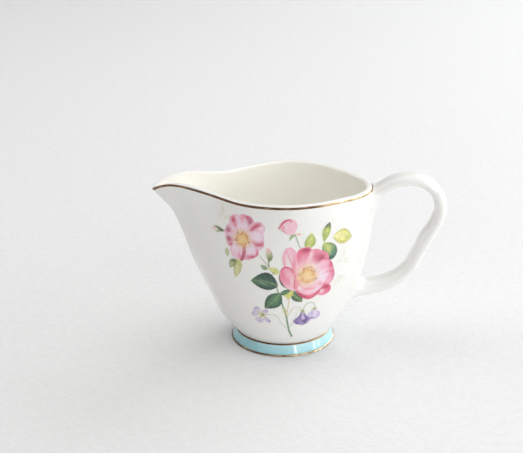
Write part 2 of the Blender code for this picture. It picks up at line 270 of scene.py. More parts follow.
def mix_colours(tree, amount, first, second, kind="MIX"):
    """Mixes two colours by an amount; each may be a socket, a number or a colour."""
    node = add(tree, "ShaderNodeMix", data_type="RGBA", blend_type=kind)
    for key, value in (("Factor", amount), ("A", first), ("B", second)):
        kinds = "VALUE" if key == "Factor" else "RGBA"
        socket = next(s for s in node.inputs if s.name == key and s.type == kinds)
        if isinstance(value, bpy.types.NodeSocket):
            tree.links.new(value, socket)
        else:
            socket.default_value = value if key == "Factor" else (*value, 1.0)
    return next(s for s in node.outputs if s.type == "RGBA")


def bump(tree, shader, height, distance, strength=1.0):
    node = add(tree, "ShaderNodeBump", Distance=distance, Strength=strength)
    tree.links.new(height, node.inputs["Height"])
    tree.links.new(node.outputs["Normal"], shader.inputs["Normal"])


GLAZE_WHITE = (0.905, 0.900, 0.876)
GLAZE_SHADE = (0.887, 0.881, 0.854)
# Painted glow: warmer, brighter white for the inside, standing in for light through the wall and light
# bounced round the bowl
INSIDE_GLOW_PAINT = (0.992, 0.980, 0.914)


def glaze_colour(tree):
    """Slightly uneven white: broad clouds where the glaze is thicker, and a fine mottle."""
    clouds = mix_colours(tree, ramp(tree, noise_node(tree, 28.0, 1.0), [(0.3, 0.0), (0.7, 1.0)]),
                         GLAZE_WHITE, GLAZE_SHADE)
    mottle = ramp(tree, noise_node(tree, 1800.0, 1.0), [(0.3, (0.985, 0.985, 0.98)),
        (0.7, (1.0, 1.0, 1.0))])
    return mix_colours(tree, 1.0, clouds, mottle, "MULTIPLY")


def glaze_gloss(tree, shader):
    """Hard clear glaze over a soft white, with a slight waviness."""
    shader.inputs["Coat Weight"].default_value = 0.85
    shader.inputs["Coat Roughness"].default_value = 0.045
    shader.inputs["IOR"].default_value = 1.48
    shader.inputs["Roughness"].default_value = 0.29
    bump(tree, shader, noise_node(tree, 45.0, 0.0), 0.00004, 0.25)


def make_porcelain(name, inside=False):
    """Glazed porcelain. With inside, a colour attribute on the mesh mixes in a painted glow: a warmer,
    brighter white on the inside of the vessel, standing in for light through the wall and light bounced round
    the bowl.
    """
    material, tree, shader = new_material(name)
    colour = glaze_colour(tree)
    if inside:
        # painted glow on the inside, mixed in by the attribute
        inside_glow = add(tree, "ShaderNodeAttribute", attribute_name="PaintedGlow")
        colour = mix_colours(tree, inside_glow.outputs["Fac"], colour, INSIDE_GLOW_PAINT)
    tree.links.new(colour, shader.inputs["Base Color"])
    glaze_gloss(tree, shader)
    return material


def make_bisque(name):
    """Unglazed porcelain of the rest ring: matt, finely gritty and a little stained."""
    material, tree, shader = new_material(name)
    stain = ramp(tree, noise_node(tree, 240.0, 4.0, 0.6), [(0.3, (0.66, 0.62, 0.55)),
        (0.6, (0.80, 0.77, 0.71))])
    grit = ramp(tree, noise_node(tree, 2200.0, 2.0), [(0.3, (0.90, 0.90, 0.89)), (0.6, (1.0, 1.0, 1.0))])
    tree.links.new(mix_colours(tree, 1.0, stain, grit, "MULTIPLY"), shader.inputs["Base Color"])
    shader.inputs["Roughness"].default_value = 0.85
    bump(tree, shader, noise_node(tree, 1700.0, 3.0), 0.00005, 0.7)
    return material


def along_axis(tree, axis, low, high):
    """0 to 1 between two places in millimetres along an axis of the object."""
    where = tree.nodes.get("where") or add(tree, "ShaderNodeTexCoord", name="where")
    split = add(tree, "ShaderNodeSeparateXYZ")
    tree.links.new(where.outputs["Object"], split.inputs["Vector"])
    spread = add(tree, "ShaderNodeMapRange")
    spread.inputs["From Min"].default_value, spread.inputs["From Max"].default_value = low * MM, high * MM
    tree.links.new(split.outputs[axis], spread.inputs["Value"])
    return spread.outputs["Result"]


def make_gold(name, worn, glint_paint_from, glint_paint_to):
    """Liquid gold with brown and bright patches and worn specks, its colour carrying a painted reflection:
    dark toward the spout, bright toward the handle.
    """
    material, tree, shader = new_material(name)
    patch = noise_node(tree, 160.0, 4.0, 0.6)
    # painted reflection: dark brown colours for the dark room reflected in front, and bright gold colours for
    # a painted glint
    painted_dark_reflection = ramp(tree, patch, [(0.30, (0.085, 0.045, 0.034)), (0.50, (0.20, 0.115, 0.072)),
                              (0.74, (0.52, 0.34, 0.19))])
    full = ramp(tree, patch, [(0.30, (0.36, 0.22, 0.12)), (0.45, (0.80, 0.58, 0.33)),
        (0.65, (1.0, 0.84, 0.56))])
    # painted reflection: dark brown below the first X, bright gold past the second, standing in for the dark
    # room in front and the glint of the window on the right
    colour = mix_colours(tree, along_axis(tree, "X", glint_paint_from, glint_paint_to), painted_dark_reflection, full)
    specks = ramp(tree, noise_node(tree, 1400.0, 3.0), [(0.35, (0.80, 0.74, 0.66)), (0.6, (1.0, 1.0, 1.0))])
    tree.links.new(mix_colours(tree, worn, colour, specks, "MULTIPLY"), shader.inputs["Base Color"])
    shader.inputs["Metallic"].default_value = 1.0
    tree.links.new(ramp(tree, patch, [(0.3, 0.30), (0.7, 0.14)]), shader.inputs["Roughness"])
    bump(tree, shader, noise_node(tree, 700.0, 3.0), 0.00003, 0.5)
    return material


def make_enamel(name):
    """Turquoise enamel: paler along the upper edge, where the layer is slight, and deeper below, where it
    gathered thick; painted shade darkens it toward the spout.
    """
    material, tree, shader = new_material(name)
    depth = ramp(tree, along_axis(tree, "Z", 1.0, 5.4), [(0.0, (0.375, 0.700, 0.770)),
        (0.25, (0.465, 0.800, 0.870)), (1.0, (0.555, 0.860, 0.915))])
    cloud = ramp(tree, noise_node(tree, 95.0, 4.0, 0.6), [(0.3, (0.93, 0.965, 0.97)),
        (0.7, (1.0, 1.0, 1.0))])
    # painted shade: the band darkened toward the spout side
    painted_shade_spout_side = ramp(tree, along_axis(tree, "X", -34.0, -14.0), [(0.0, (0.66, 0.74, 0.74)),
        (1.0, (1.0, 1.0, 1.0))])
    colour = mix_colours(tree, 1.0, mix_colours(tree, 1.0, depth, cloud, "MULTIPLY"), painted_shade_spout_side, "MULTIPLY")
    grain = ramp(tree, noise_node(tree, 1500.0, 2.0), [(0.3, (0.95, 0.97, 0.97)), (0.65, (1.0, 1.0, 1.0))])
    tree.links.new(mix_colours(tree, 1.0, colour, grain, "MULTIPLY"), shader.inputs["Base Color"])
    shader.inputs["Coat Weight"].default_value = 0.8
    shader.inputs["Coat Roughness"].default_value = 0.05
    tree.links.new(ramp(tree, noise_node(tree, 150.0), [(0.3, 0.22), (0.7, 0.34)]),
        shader.inputs["Roughness"])
    bump(tree, shader, noise_node(tree, 260.0, 2.0), 0.00006, 0.6)
    return material


# ------------------------------------------------------------------ the cast body
OUTSIDE_RINGS, OUTSIDE_CROWDING = 92, 1.25
INSIDE_RINGS = 60
# share of the painted inside glow that reaches the top of the lip
LIP_GLOW_PAINT = 0.6
UNDERSIDE_ARCH = 0.8


def build_body(material):
    """Outside, rounded lip, inside, floor and the shallow arch of the underside, as one closed skin."""
    levels = 1.0 - np.linspace(1.0, 0.0, OUTSIDE_RINGS) ** OUTSIDE_CROWDING
    rings = [outer_point(RIM_ANGLE, RIM_RADIUS, level) for level in levels]
    edge_out, edge_in = rings[-1], inner_ring(1.0)
    middle, half = (edge_out + edge_in) / 2, (edge_out - edge_in) / 2
    for turn in np.radians(np.linspace(15.0, 165.0, 11)):
        rings.append(middle + half * math.cos(turn) + [0.0, 0.0, LIP_CROWN * math.sin(turn)])
    outside_rows = len(rings)
    for level in INNER_WALL_FOOT + (1.0 - INNER_WALL_FOOT) * np.linspace(1.0, 0.0, INSIDE_RINGS):
        rings.append(inner_ring(level))
    foot = rings[-1]
    for turn in np.radians(np.linspace(10.0, 90.0, 9)):
        shrink = 1.0 - FLOOR_CORNER * (1.0 - math.cos(turn))
        ring = AXIS + (foot - AXIS) * [shrink, shrink, 1.0]
        ring[:, 2] += (FLOOR_Z - ring[:, 2]) * math.sin(turn)
        rings.append(ring)
    flat = rings[-1]
    for shrink in (0.85, 0.65, 0.45, 0.25, 0.08):
        rings.append(AXIS + (flat - AXIS) * [shrink, shrink, 1.0])
    underside = rings[0]
    below = []
    for shrink in (0.06, 0.25, 0.5, 0.7, 0.84, 0.9, 0.95):
        ring = AXIS + (underside - AXIS) * [shrink, shrink, 1.0]
        ring[:, 2] += UNDERSIDE_ARCH * (1.0 - (shrink / 0.95) ** 2)
        below.append(ring)
    points, faces = loft(below + rings)
    thing = make_mesh("porcelain_body", points, faces, material, ["jug_body"])
    # Painted glow: 1 on the inside, fading in over the lip, where the material mixes in the brighter, warmer
    # inside white for light through the wall and bounced round the bowl
    inside_glow = np.zeros(len(points))
    first_inside = (len(below) + outside_rows) * AROUND
    inside_glow[first_inside:len(points)] = 1.0
    lip = np.arange(len(below) + len(levels), len(below) + outside_rows)
    for step, row in enumerate(lip):
        inside_glow[row * AROUND:(row + 1) * AROUND] = smooth(0.0, 1.0, (step + 1) / (len(lip) + 1)) * LIP_GLOW_PAINT
    inside_glow[-2] = 0.0
    add_colours(thing, "PaintedGlow", np.column_stack([inside_glow, inside_glow, inside_glow, np.ones(len(inside_glow))]))
    return thing


# ------------------------------------------------------------------ the handle
HANDLE_PATH = [
    (41.0, 71.4, 1.12), (48.0, 79.2, 1.02), (59.6, 84.5, 0.98), (71.3, 81.7, 0.95), (77.5, 71.3, 1.0),
    (74.7, 59.8, 1.05), (71.1, 53.6, 1.15), (68.1, 47.4, 1.08), (62.2, 36.6, 1.08), (51.0, 29.2, 1.12),
    (34.8, 26.6, 1.35)]
HANDLE_WIDTH = 11.4
HANDLE_THICKNESS = 6.2
HANDLE_SQUARENESS = 2.25
HANDLE_GRID = 0.45
HANDLE_STEP = 0.45
SMOOTHING_ROUNDS = 4
SETTLING_STEPS = 2
NUDGE = 0.02
MOST_SHIFT = 0.3
JOINT_DEPTH = 1.0
JOINT_SUNK = 0.03
JOINT_RUN_IN = 7.0
JOINT_FROM, JOINT_LOWEST = 24.0, 12.0
BLEND_OVER, BLEND_UNDER, BLEND_BESIDE, BLEND_LOW = 3.0, 8.5, 6.0, 5.0


def handle_line(step):
    """Even points along the handle's centre line, with the scale of its section there."""
    curve = bpy.data.curves.new("handle_line", "CURVE")
    curve.dimensions = "3D"
    path = curve.splines.new("BEZIER")
    path.bezier_points.add(len(HANDLE_PATH) - 1)
    for knot, (along, height, _) in zip(path.bezier_points, HANDLE_PATH):
        knot.co = (along, 0.0, height)
        knot.handle_left_type = knot.handle_right_type = "AUTO"
    holder = bpy.data.objects.new("handle_line", curve)
    bpy.context.scene.collection.objects.link(holder)
    bpy.context.view_layer.update()
    knots = path.bezier_points
    t = np.linspace(0.0, 1.0, 60, endpoint=False)[:, None]
    line, scale = [], []
    for i, (a, b) in enumerate(zip(knots[:-1], knots[1:])):
        p, q, r, s = (np.array(v) for v in (a.co, a.handle_right, b.handle_left, b.co))
        line.append((1 - t) ** 3 * p + 3 * t * (1 - t) ** 2 * q + 3 * t * t * (1 - t) * r + t ** 3 * s)
        scale.append(HANDLE_PATH[i][2] + (HANDLE_PATH[i + 1][2] - HANDLE_PATH[i][2]) * smooth(0, 1, t[:,
            0]))
    line = np.concatenate(line + [np.array(knots[-1].co)[None]])
    scale = np.concatenate(scale + [[HANDLE_PATH[-1][2]]])
    bpy.data.objects.remove(holder)
    bpy.data.curves.remove(curve)
    along = np.concatenate([[0.0], np.cumsum(np.linalg.norm(np.diff(line, axis=0), axis=1))])
    at = np.linspace(0.0, along[-1], int(along[-1] / step))
    line = np.stack([np.interp(at, along, line[:, k]) for k in range(3)], 1)
    return line, np.interp(at, along, scale)


def gap_to_body(points):
    """How far points lie outside the body, measured along the radius, and the rim's height over them."""
    angle, radius = np.arctan2(points[:, 1], points[:, 0] - AXIS_X), np.hypot(points[:, 0] - AXIS_X,
        points[:, 1])
    rim_radius = rim_radius_at(angle)
    top = height_at(angle, rim_radius, 1.0)
    level = np.clip((points[:, 2] - WAIST_Z) / (top - WAIST_Z), 0.0, 1.0)
    gap = radius - outer_radius(angle, rim_radius, level)
    over = points[:, 2] - top
    return np.where(over > 0, np.hypot(np.maximum(gap, 0.0), over), gap), gap, top


def gap_to_strap(points, line, scale):
    """Distance from the strap's section, how far to its outer side a point lies, and which half it is in."""
    tangent = np.gradient(line, axis=0)
    tangent /= np.linalg.norm(tangent, axis=1)[:, None]
    nearest = np.empty(len(points), int)
    for some in np.array_split(np.arange(len(points)), 1 + len(points) // 20000):
        far = (points[some, 0, None] - line[None, :, 0]) ** 2 + (points[some, 2, None] - line[None, :,
            2]) ** 2
        nearest[some] = far.argmin(1)
    offset = points - line[nearest]
    along = np.sum(offset * tangent[nearest], 1)
    step = np.linalg.norm(line[1] - line[0])
    place_on = np.clip(nearest + along / step, 0, len(line) - 1)
    count = np.arange(len(line))
    side = np.column_stack([-np.interp(place_on, count, tangent[:, 2]),
        np.interp(place_on, count, tangent[:, 0])])
    foot = np.column_stack([np.interp(place_on, count, line[:, 0]), np.interp(place_on, count, line[:, 2])])
    through = np.sum((points[:, [0, 2]] - foot) * side, 1)
    size = np.interp(place_on, count, scale)
    power = HANDLE_SQUARENESS
    reach = ((np.abs(through) / (HANDLE_THICKNESS / 2)) ** power
             + (np.abs(points[:, 1]) / (HANDLE_WIDTH / 2)) ** power) ** (1 / power)
    radius = np.maximum(np.hypot(through, points[:, 1]), 1e-6)
    gap = radius - radius / np.maximum(reach, 1e-6) * size
    beyond = np.maximum(nearest + along / step - (len(line) - 1), -(nearest + along / step)) * step
    return np.maximum(gap, beyond), through / radius, place_on < len(line) / 2


def handle_field(points, line, scale):
    """Below zero inside the handle: the strap, blended into the body, with a thin root in the body's wall."""
    body, radial, top = gap_to_body(points)
    strap, outward, upper = gap_to_strap(points, line, scale)
    over, under = np.where(upper, BLEND_OVER, BLEND_LOW), np.where(upper, BLEND_UNDER, BLEND_LOW)
    width = (BLEND_BESIDE + (over - BLEND_BESIDE) * np.maximum(outward, 0.0) ** 2
             + (under - BLEND_BESIDE) * np.minimum(outward, 0.0) ** 2)
    skin = body + JOINT_SUNK
    overlap = np.maximum(width - np.abs(strap - skin), 0.0) / width
    blend = np.minimum(strap, skin) - overlap ** 2 * width / 4
    over_rim = np.minimum(points[:, 2] - (top - JOINT_DEPTH), 0.5 - radial)
    return np.maximum.reduce([blend, -(body + JOINT_DEPTH), strap - width, over_rim])


def surface_net(field, low, step):
    """Closed skin where a sampled field passes zero: a point in each crossed cell, joined by quads."""
    inside = field < 0
    cells = tuple(n - 1 for n in field.shape)
    corners = [np.array(c) for c in np.ndindex(2, 2, 2)]

    def corner(values, c):
        return values[c[0]:c[0] + cells[0], c[1]:c[1] + cells[1], c[2]:c[2] + cells[2]]

    filled = sum(corner(inside, c).astype(int) for c in corners)
    crossed = (filled > 0) & (filled < 8)
    number = np.full(cells, -1)
    number[crossed] = np.arange(crossed.sum())
    total, hits = np.zeros((crossed.sum(), 3)), np.zeros(crossed.sum())
    for first in corners:
        for axis in range(3):
            if first[axis]:
                continue
            second = first + np.eye(3, dtype=int)[axis]
            here, there = corner(field, first)[crossed], corner(field, second)[crossed]
            cut = (here < 0) != (there < 0)
            t = here[cut] / (here[cut] - there[cut])
            total[cut] += first + np.outer(t, second - first)
            hits[cut] += 1
    points = low + step * (np.argwhere(crossed) + total / hits[:, None])
    faces = []
    for axis in range(3):
        turned_axes = (axis, (axis + 1) % 3, (axis + 2) % 3)
        solid, index = inside.transpose(turned_axes), number.transpose(turned_axes)
        here, there = solid[:-1, 1:-1, 1:-1], solid[1:, 1:-1, 1:-1]
        quads = [index[:, :-1, :-1], index[:, 1:, :-1], index[:, 1:, 1:], index[:, :-1, 1:]]
        for mask, order in ((here & ~there, (0, 1, 2, 3)), (there & ~here, (3, 2, 1, 0))):
            faces.append(np.stack([quads[k][mask] for k in order], 1))
    return points, np.concatenate(faces)


def build_handle(material):
    """Looped strap, blended smoothly into the body at both joints, with its roots inside the body's wall."""
    line, scale = handle_line(HANDLE_STEP)
    for end, following in ((0, 1), (-1, -2)):
        step = line[end] - line[following]
        more = line[end] + np.outer(np.arange(1, 1 + int(JOINT_RUN_IN / np.linalg.norm(step))), step)
        line = np.concatenate([more[::-1], line] if end == 0 else [line, more])
        scale = np.concatenate([[scale[end]] * len(more), scale] if end == 0 else [scale,
            [scale[end]] * len(more)])
    line = line + AXIS
    spread = HANDLE_WIDTH / 2 + BLEND_BESIDE + 2.0
    low = np.array([AXIS_X + JOINT_FROM, -spread, JOINT_LOWEST])
    high = np.array([line[:, 0].max() + HANDLE_THICKNESS, spread, line[:, 2].max() + HANDLE_THICKNESS])
    axes = [np.arange(a, b, HANDLE_GRID) for a, b in zip(low, high)]
    grid = np.stack(np.meshgrid(*axes, indexing="ij"), -1).reshape(-1, 3)
    points, faces = surface_net(handle_field(grid, line, scale).reshape([len(a) for a in axes]), low,
        HANDLE_GRID)
    edges = np.concatenate([faces[:, [k, (k + 1) % 4]] for k in range(4)])
    for turn in range(SMOOTHING_ROUNDS):
        if turn:
            beside = np.zeros_like(points)
            np.add.at(beside, edges[:, 0], points[edges[:, 1]])
            points = beside / np.bincount(edges[:, 0], minlength=len(points))[:, None]
        for _ in range(SETTLING_STEPS):
            value = handle_field(points, line, scale)
            beyond = [handle_field(points + NUDGE * d, line, scale) for d in np.eye(3)]
            slope = (np.stack(beyond, 1) - value[:, None]) / NUDGE
            steep = np.maximum(np.sum(slope * slope, 1), 0.25)
            points = points - slope * np.clip(value / steep, -MOST_SHIFT, MOST_SHIFT)[:, None]
    return make_mesh("strap_handle", points, faces.tolist(), material, ["handle"])


# ------------------------------------------------------------------ foot ring, enamel band and gilding
FOOT_TOP_Z = foot_high.z / MM
FOOT_WIDER = 0.5
FOOT_BASE_RADIUS = (foot_high.x - foot_low.x) / 2 / MM + FOOT_WIDER
FOOT_TOP_RADIUS = 23.9
FOOT_INNER_RADIUS = 21.2
FOOT_HOLLOW = 0.5
REST_INNER, REST_OUTER = 22.6, 25.6
BAND_SPAN, BAND_FILM = (0.72, 5.6), 0.10
WAIST_LINE_SPAN, WAIST_LINE_FILM = (5.4, 6.25), 0.26
FOOT_LINE_SPAN, FOOT_LINE_FILM = (0.14, 0.98), 0.3
FILM_SUNK = 0.2
FILM_EDGE_SUNK = 0.05


def foot_radius(height):
    """Outside radius of the foot, which flares to the table in a slight curve."""
    drop = 1.0 - height / FOOT_TOP_Z
    return FOOT_TOP_RADIUS + (FOOT_BASE_RADIUS - FOOT_TOP_RADIUS) * drop + FOOT_HOLLOW * (drop * drop - drop)


def build_foot(material, bare):
    """Glazed foot ring with an unglazed rest ring on the table."""
    profile = [(FOOT_TOP_RADIUS - 0.2, FOOT_TOP_Z + 1.0)]
    profile += [(foot_radius(z), z) for z in np.linspace(FOOT_TOP_Z, 0.8, 14)]
    profile += [(FOOT_BASE_RADIUS - 0.7 + 0.62 * math.cos(a), 0.62 - 0.5 * math.sin(a)) for a in
                np.radians([10, 30, 50, 70])]
    rest_from = len(profile)
    profile += [(REST_OUTER, 0.0), (REST_OUTER - 0.9, 0.0), (REST_INNER + 0.7, 0.0), (REST_INNER, 0.06)]
    rest_to = len(profile)
    profile += [(22.1, 0.5), (21.6, 1.0), (21.3, 1.6), (FOOT_INNER_RADIUS, 2.4)]
    profile += [(FOOT_INNER_RADIUS, z) for z in np.linspace(3.0, 5.4, 5)]
    profile += [(21.0, 6.0), (20.6, 6.5), (20.0, 6.9), (19.4, 7.3)]
    points, faces = turned(profile)
    thing = make_mesh("porcelain_foot", points, faces, material, ["foot_ring"])
    thing.data.materials.append(bare)
    steps = len(points) // len(profile)
    for face in thing.data.polygons:
        row = face.index // steps
        if rest_from <= row < rest_to - 1:
            face.material_index = 1
    return thing


def film_places(rows):
    """Places across a film from -1 to 1, closer together at both edges."""
    return np.sin(np.linspace(-0.5, 0.5, rows) * math.pi)


def film_belly(place_on, top):
    """How far a film stands off the glaze: rounded over, with both edges sunk just under it."""
    return (top + FILM_EDGE_SUNK) * (1.0 - place_on ** 4) - FILM_EDGE_SUNK


def film_ring(low, high, top, rows=13):
    """Profile of a thin film on the foot between two heights, thinning out to both edges."""
    place_on = film_places(rows)
    heights = (high + low) / 2 - (high - low) / 2 * place_on
    outside = [(foot_radius(z) + t, z) for z, t in zip(heights, film_belly(place_on, top))]
    inside = [(foot_radius(z) - FILM_SUNK, z) for z in (low, high)]
    return outside + inside


def build_film(name, span, top, material, node):
    """A film of enamel or gold round the foot, over a span of heights, standing `top` off the glaze."""
    points, faces = turned(film_ring(*span, top))
    return make_mesh(name, points, faces, material, [node])


RIM_LINE_BELOW = 0.95
RIM_LINE_OVER = 24.0
RIM_FILM = 0.09


def build_rim_line(material):
    """Gold line round the outer edge of the lip, following the spout."""
    edge_out, edge_in = outer_point(RIM_ANGLE, RIM_RADIUS, 1.0), inner_ring(1.0)
    middle, half = (edge_out + edge_in) / 2, (edge_out - edge_in) / 2
    span = height_at(RIM_ANGLE, RIM_RADIUS, 1.0) - WAIST_Z
    lines = [outer_point(RIM_ANGLE, RIM_RADIUS, 1.0 - below / span)
             for below in RIM_LINE_BELOW * np.array([1.0, 0.93, 0.8, 0.55, 0.3, 0.1])]
    for turn in np.radians(RIM_LINE_OVER * np.array([0.15, 0.5, 0.8, 0.93, 1.0])):
        lines.append(middle + half * math.cos(turn) + [0.0, 0.0, LIP_CROWN * math.sin(turn)])
    lines = np.array(lines)
    along = np.roll(lines, -1, 1) - np.roll(lines, 1, 1)
    up = np.gradient(lines, axis=0)
    away = np.cross(along, up)
    away /= np.maximum(np.linalg.norm(away, axis=2), 1e-9)[..., None]
    if np.sum(away[0] * (lines[0] - AXIS) * [1, 1, 0]) < 0:
        away = -away
    belly = film_belly(film_places(len(lines)), RIM_FILM)
    skin = lines + away * belly[:, None, None]
    under = [lines[-1] - away[-1] * FILM_SUNK, lines[0] - away[0] * FILM_SUNK]
    points, faces = loft(list(skin) + under, close_rows=True)
    return make_mesh("gold_rim_line", points, faces, material, ["rim_gilding"])


# ------------------------------------------------------------------ painting on a surface, in millimetres
def linear(colour):
    """Screen colour from 0 to 255 as linear light."""
    c = np.array(colour, float) / 255.0
    return np.where(c <= 0.04045, c / 12.92, ((c + 0.055) / 1.055) ** 2.4)


def hashed(ix, iy, seed):
    h = (ix * 374761393 + iy * 668265263 + seed * 1274126177) & 0xFFFFFFFF
    h = ((h ^ (h >> 13)) * 1103515245) & 0xFFFFFFFF
    return ((h ^ (h >> 16)) & 0xFFFF) / 65535.0


def lumps(x, y, seed=0):
    """Smooth value noise from 0 to 1, one lump a unit."""
    ix, iy = np.floor(x).astype(np.int64), np.floor(y).astype(np.int64)
    fx, fy = smooth(0.0, 1.0, x - ix), smooth(0.0, 1.0, y - iy)
    low = hashed(ix, iy, seed) * (1 - fx) + hashed(ix + 1, iy, seed) * fx
    high = hashed(ix, iy + 1, seed) * (1 - fx) + hashed(ix + 1, iy + 1, seed) * fx
    return low * (1 - fy) + high * fy


def curve_through(points, per=8):
    """Smooth curve through points (Catmull-Rom)."""
    p = np.array(points, float)
    p = np.vstack([2 * p[0] - p[1], p, 2 * p[-1] - p[-2]])
    t = np.arange(per)[:, None] / per
    out = []
    for a, b, c, d in zip(p[:-3], p[1:-2], p[2:-1], p[3:]):
        out.append(0.5 * (2 * b + (c - a) * t + (2 * a - 5 * b + 4 * c - d) * t ** 2
                          + (3 * b - a - 3 * c + d) * t ** 3))
    return np.vstack(out + [p[-2:-1]])


def along_path(x, y, path):
    """Distance from points to a path of short segments, and how far along it (0 to 1) that place is."""
    best, along = np.full(x.size, 1e9), np.zeros(x.size)
    lengths = np.maximum(np.linalg.norm(np.diff(path, axis=0), axis=1), 1e-9)
    starts = np.concatenate([[0.0], np.cumsum(lengths)])
    for i, (p, d) in enumerate(zip(path[:-1], np.diff(path, axis=0))):
        t = np.clip(((x - p[0]) * d[0] + (y - p[1]) * d[1]) / lengths[i] ** 2, 0, 1)
        far = np.hypot(x - p[0] - t * d[0], y - p[1] - t * d[1])
        nearer = far < best
        best = np.where(nearer, far, best)
        along = np.where(nearer, (starts[i] + t * lengths[i]) / starts[-1], along)
    return best, along


def depth_inside(x, y, loop):
    """Distance to a closed outline, positive inside it."""
    ring = np.vstack([loop, loop[:1]])
    far, _ = along_path(x, y, ring)
    inside = np.zeros(x.size, bool)
    for (x0, y0), (x1, y1) in zip(ring[:-1], ring[1:]):
        if y0 != y1:
            inside ^= ((y0 > y) != (y1 > y)) & (x < (x1 - x0) * (y - y0) / (y1 - y0) + x0)
    return np.where(inside, far, -far)


def toward(colour, tint, weight):
    return colour + (linear(tint) - colour) * np.clip(weight, 0.0, 1.0)[:, None]


def spot(x, y, cx, cy, rx, ry, turn=0.0):
    """Soft round weight, 1 at (cx, cy)."""
    c, s = math.cos(math.radians(turn)), math.sin(math.radians(turn))
    u, v = ((x - cx) * c + (y - cy) * s) / rx, ((y - cy) * c - (x - cx) * s) / ry
    return np.exp(-(u * u + v * v))


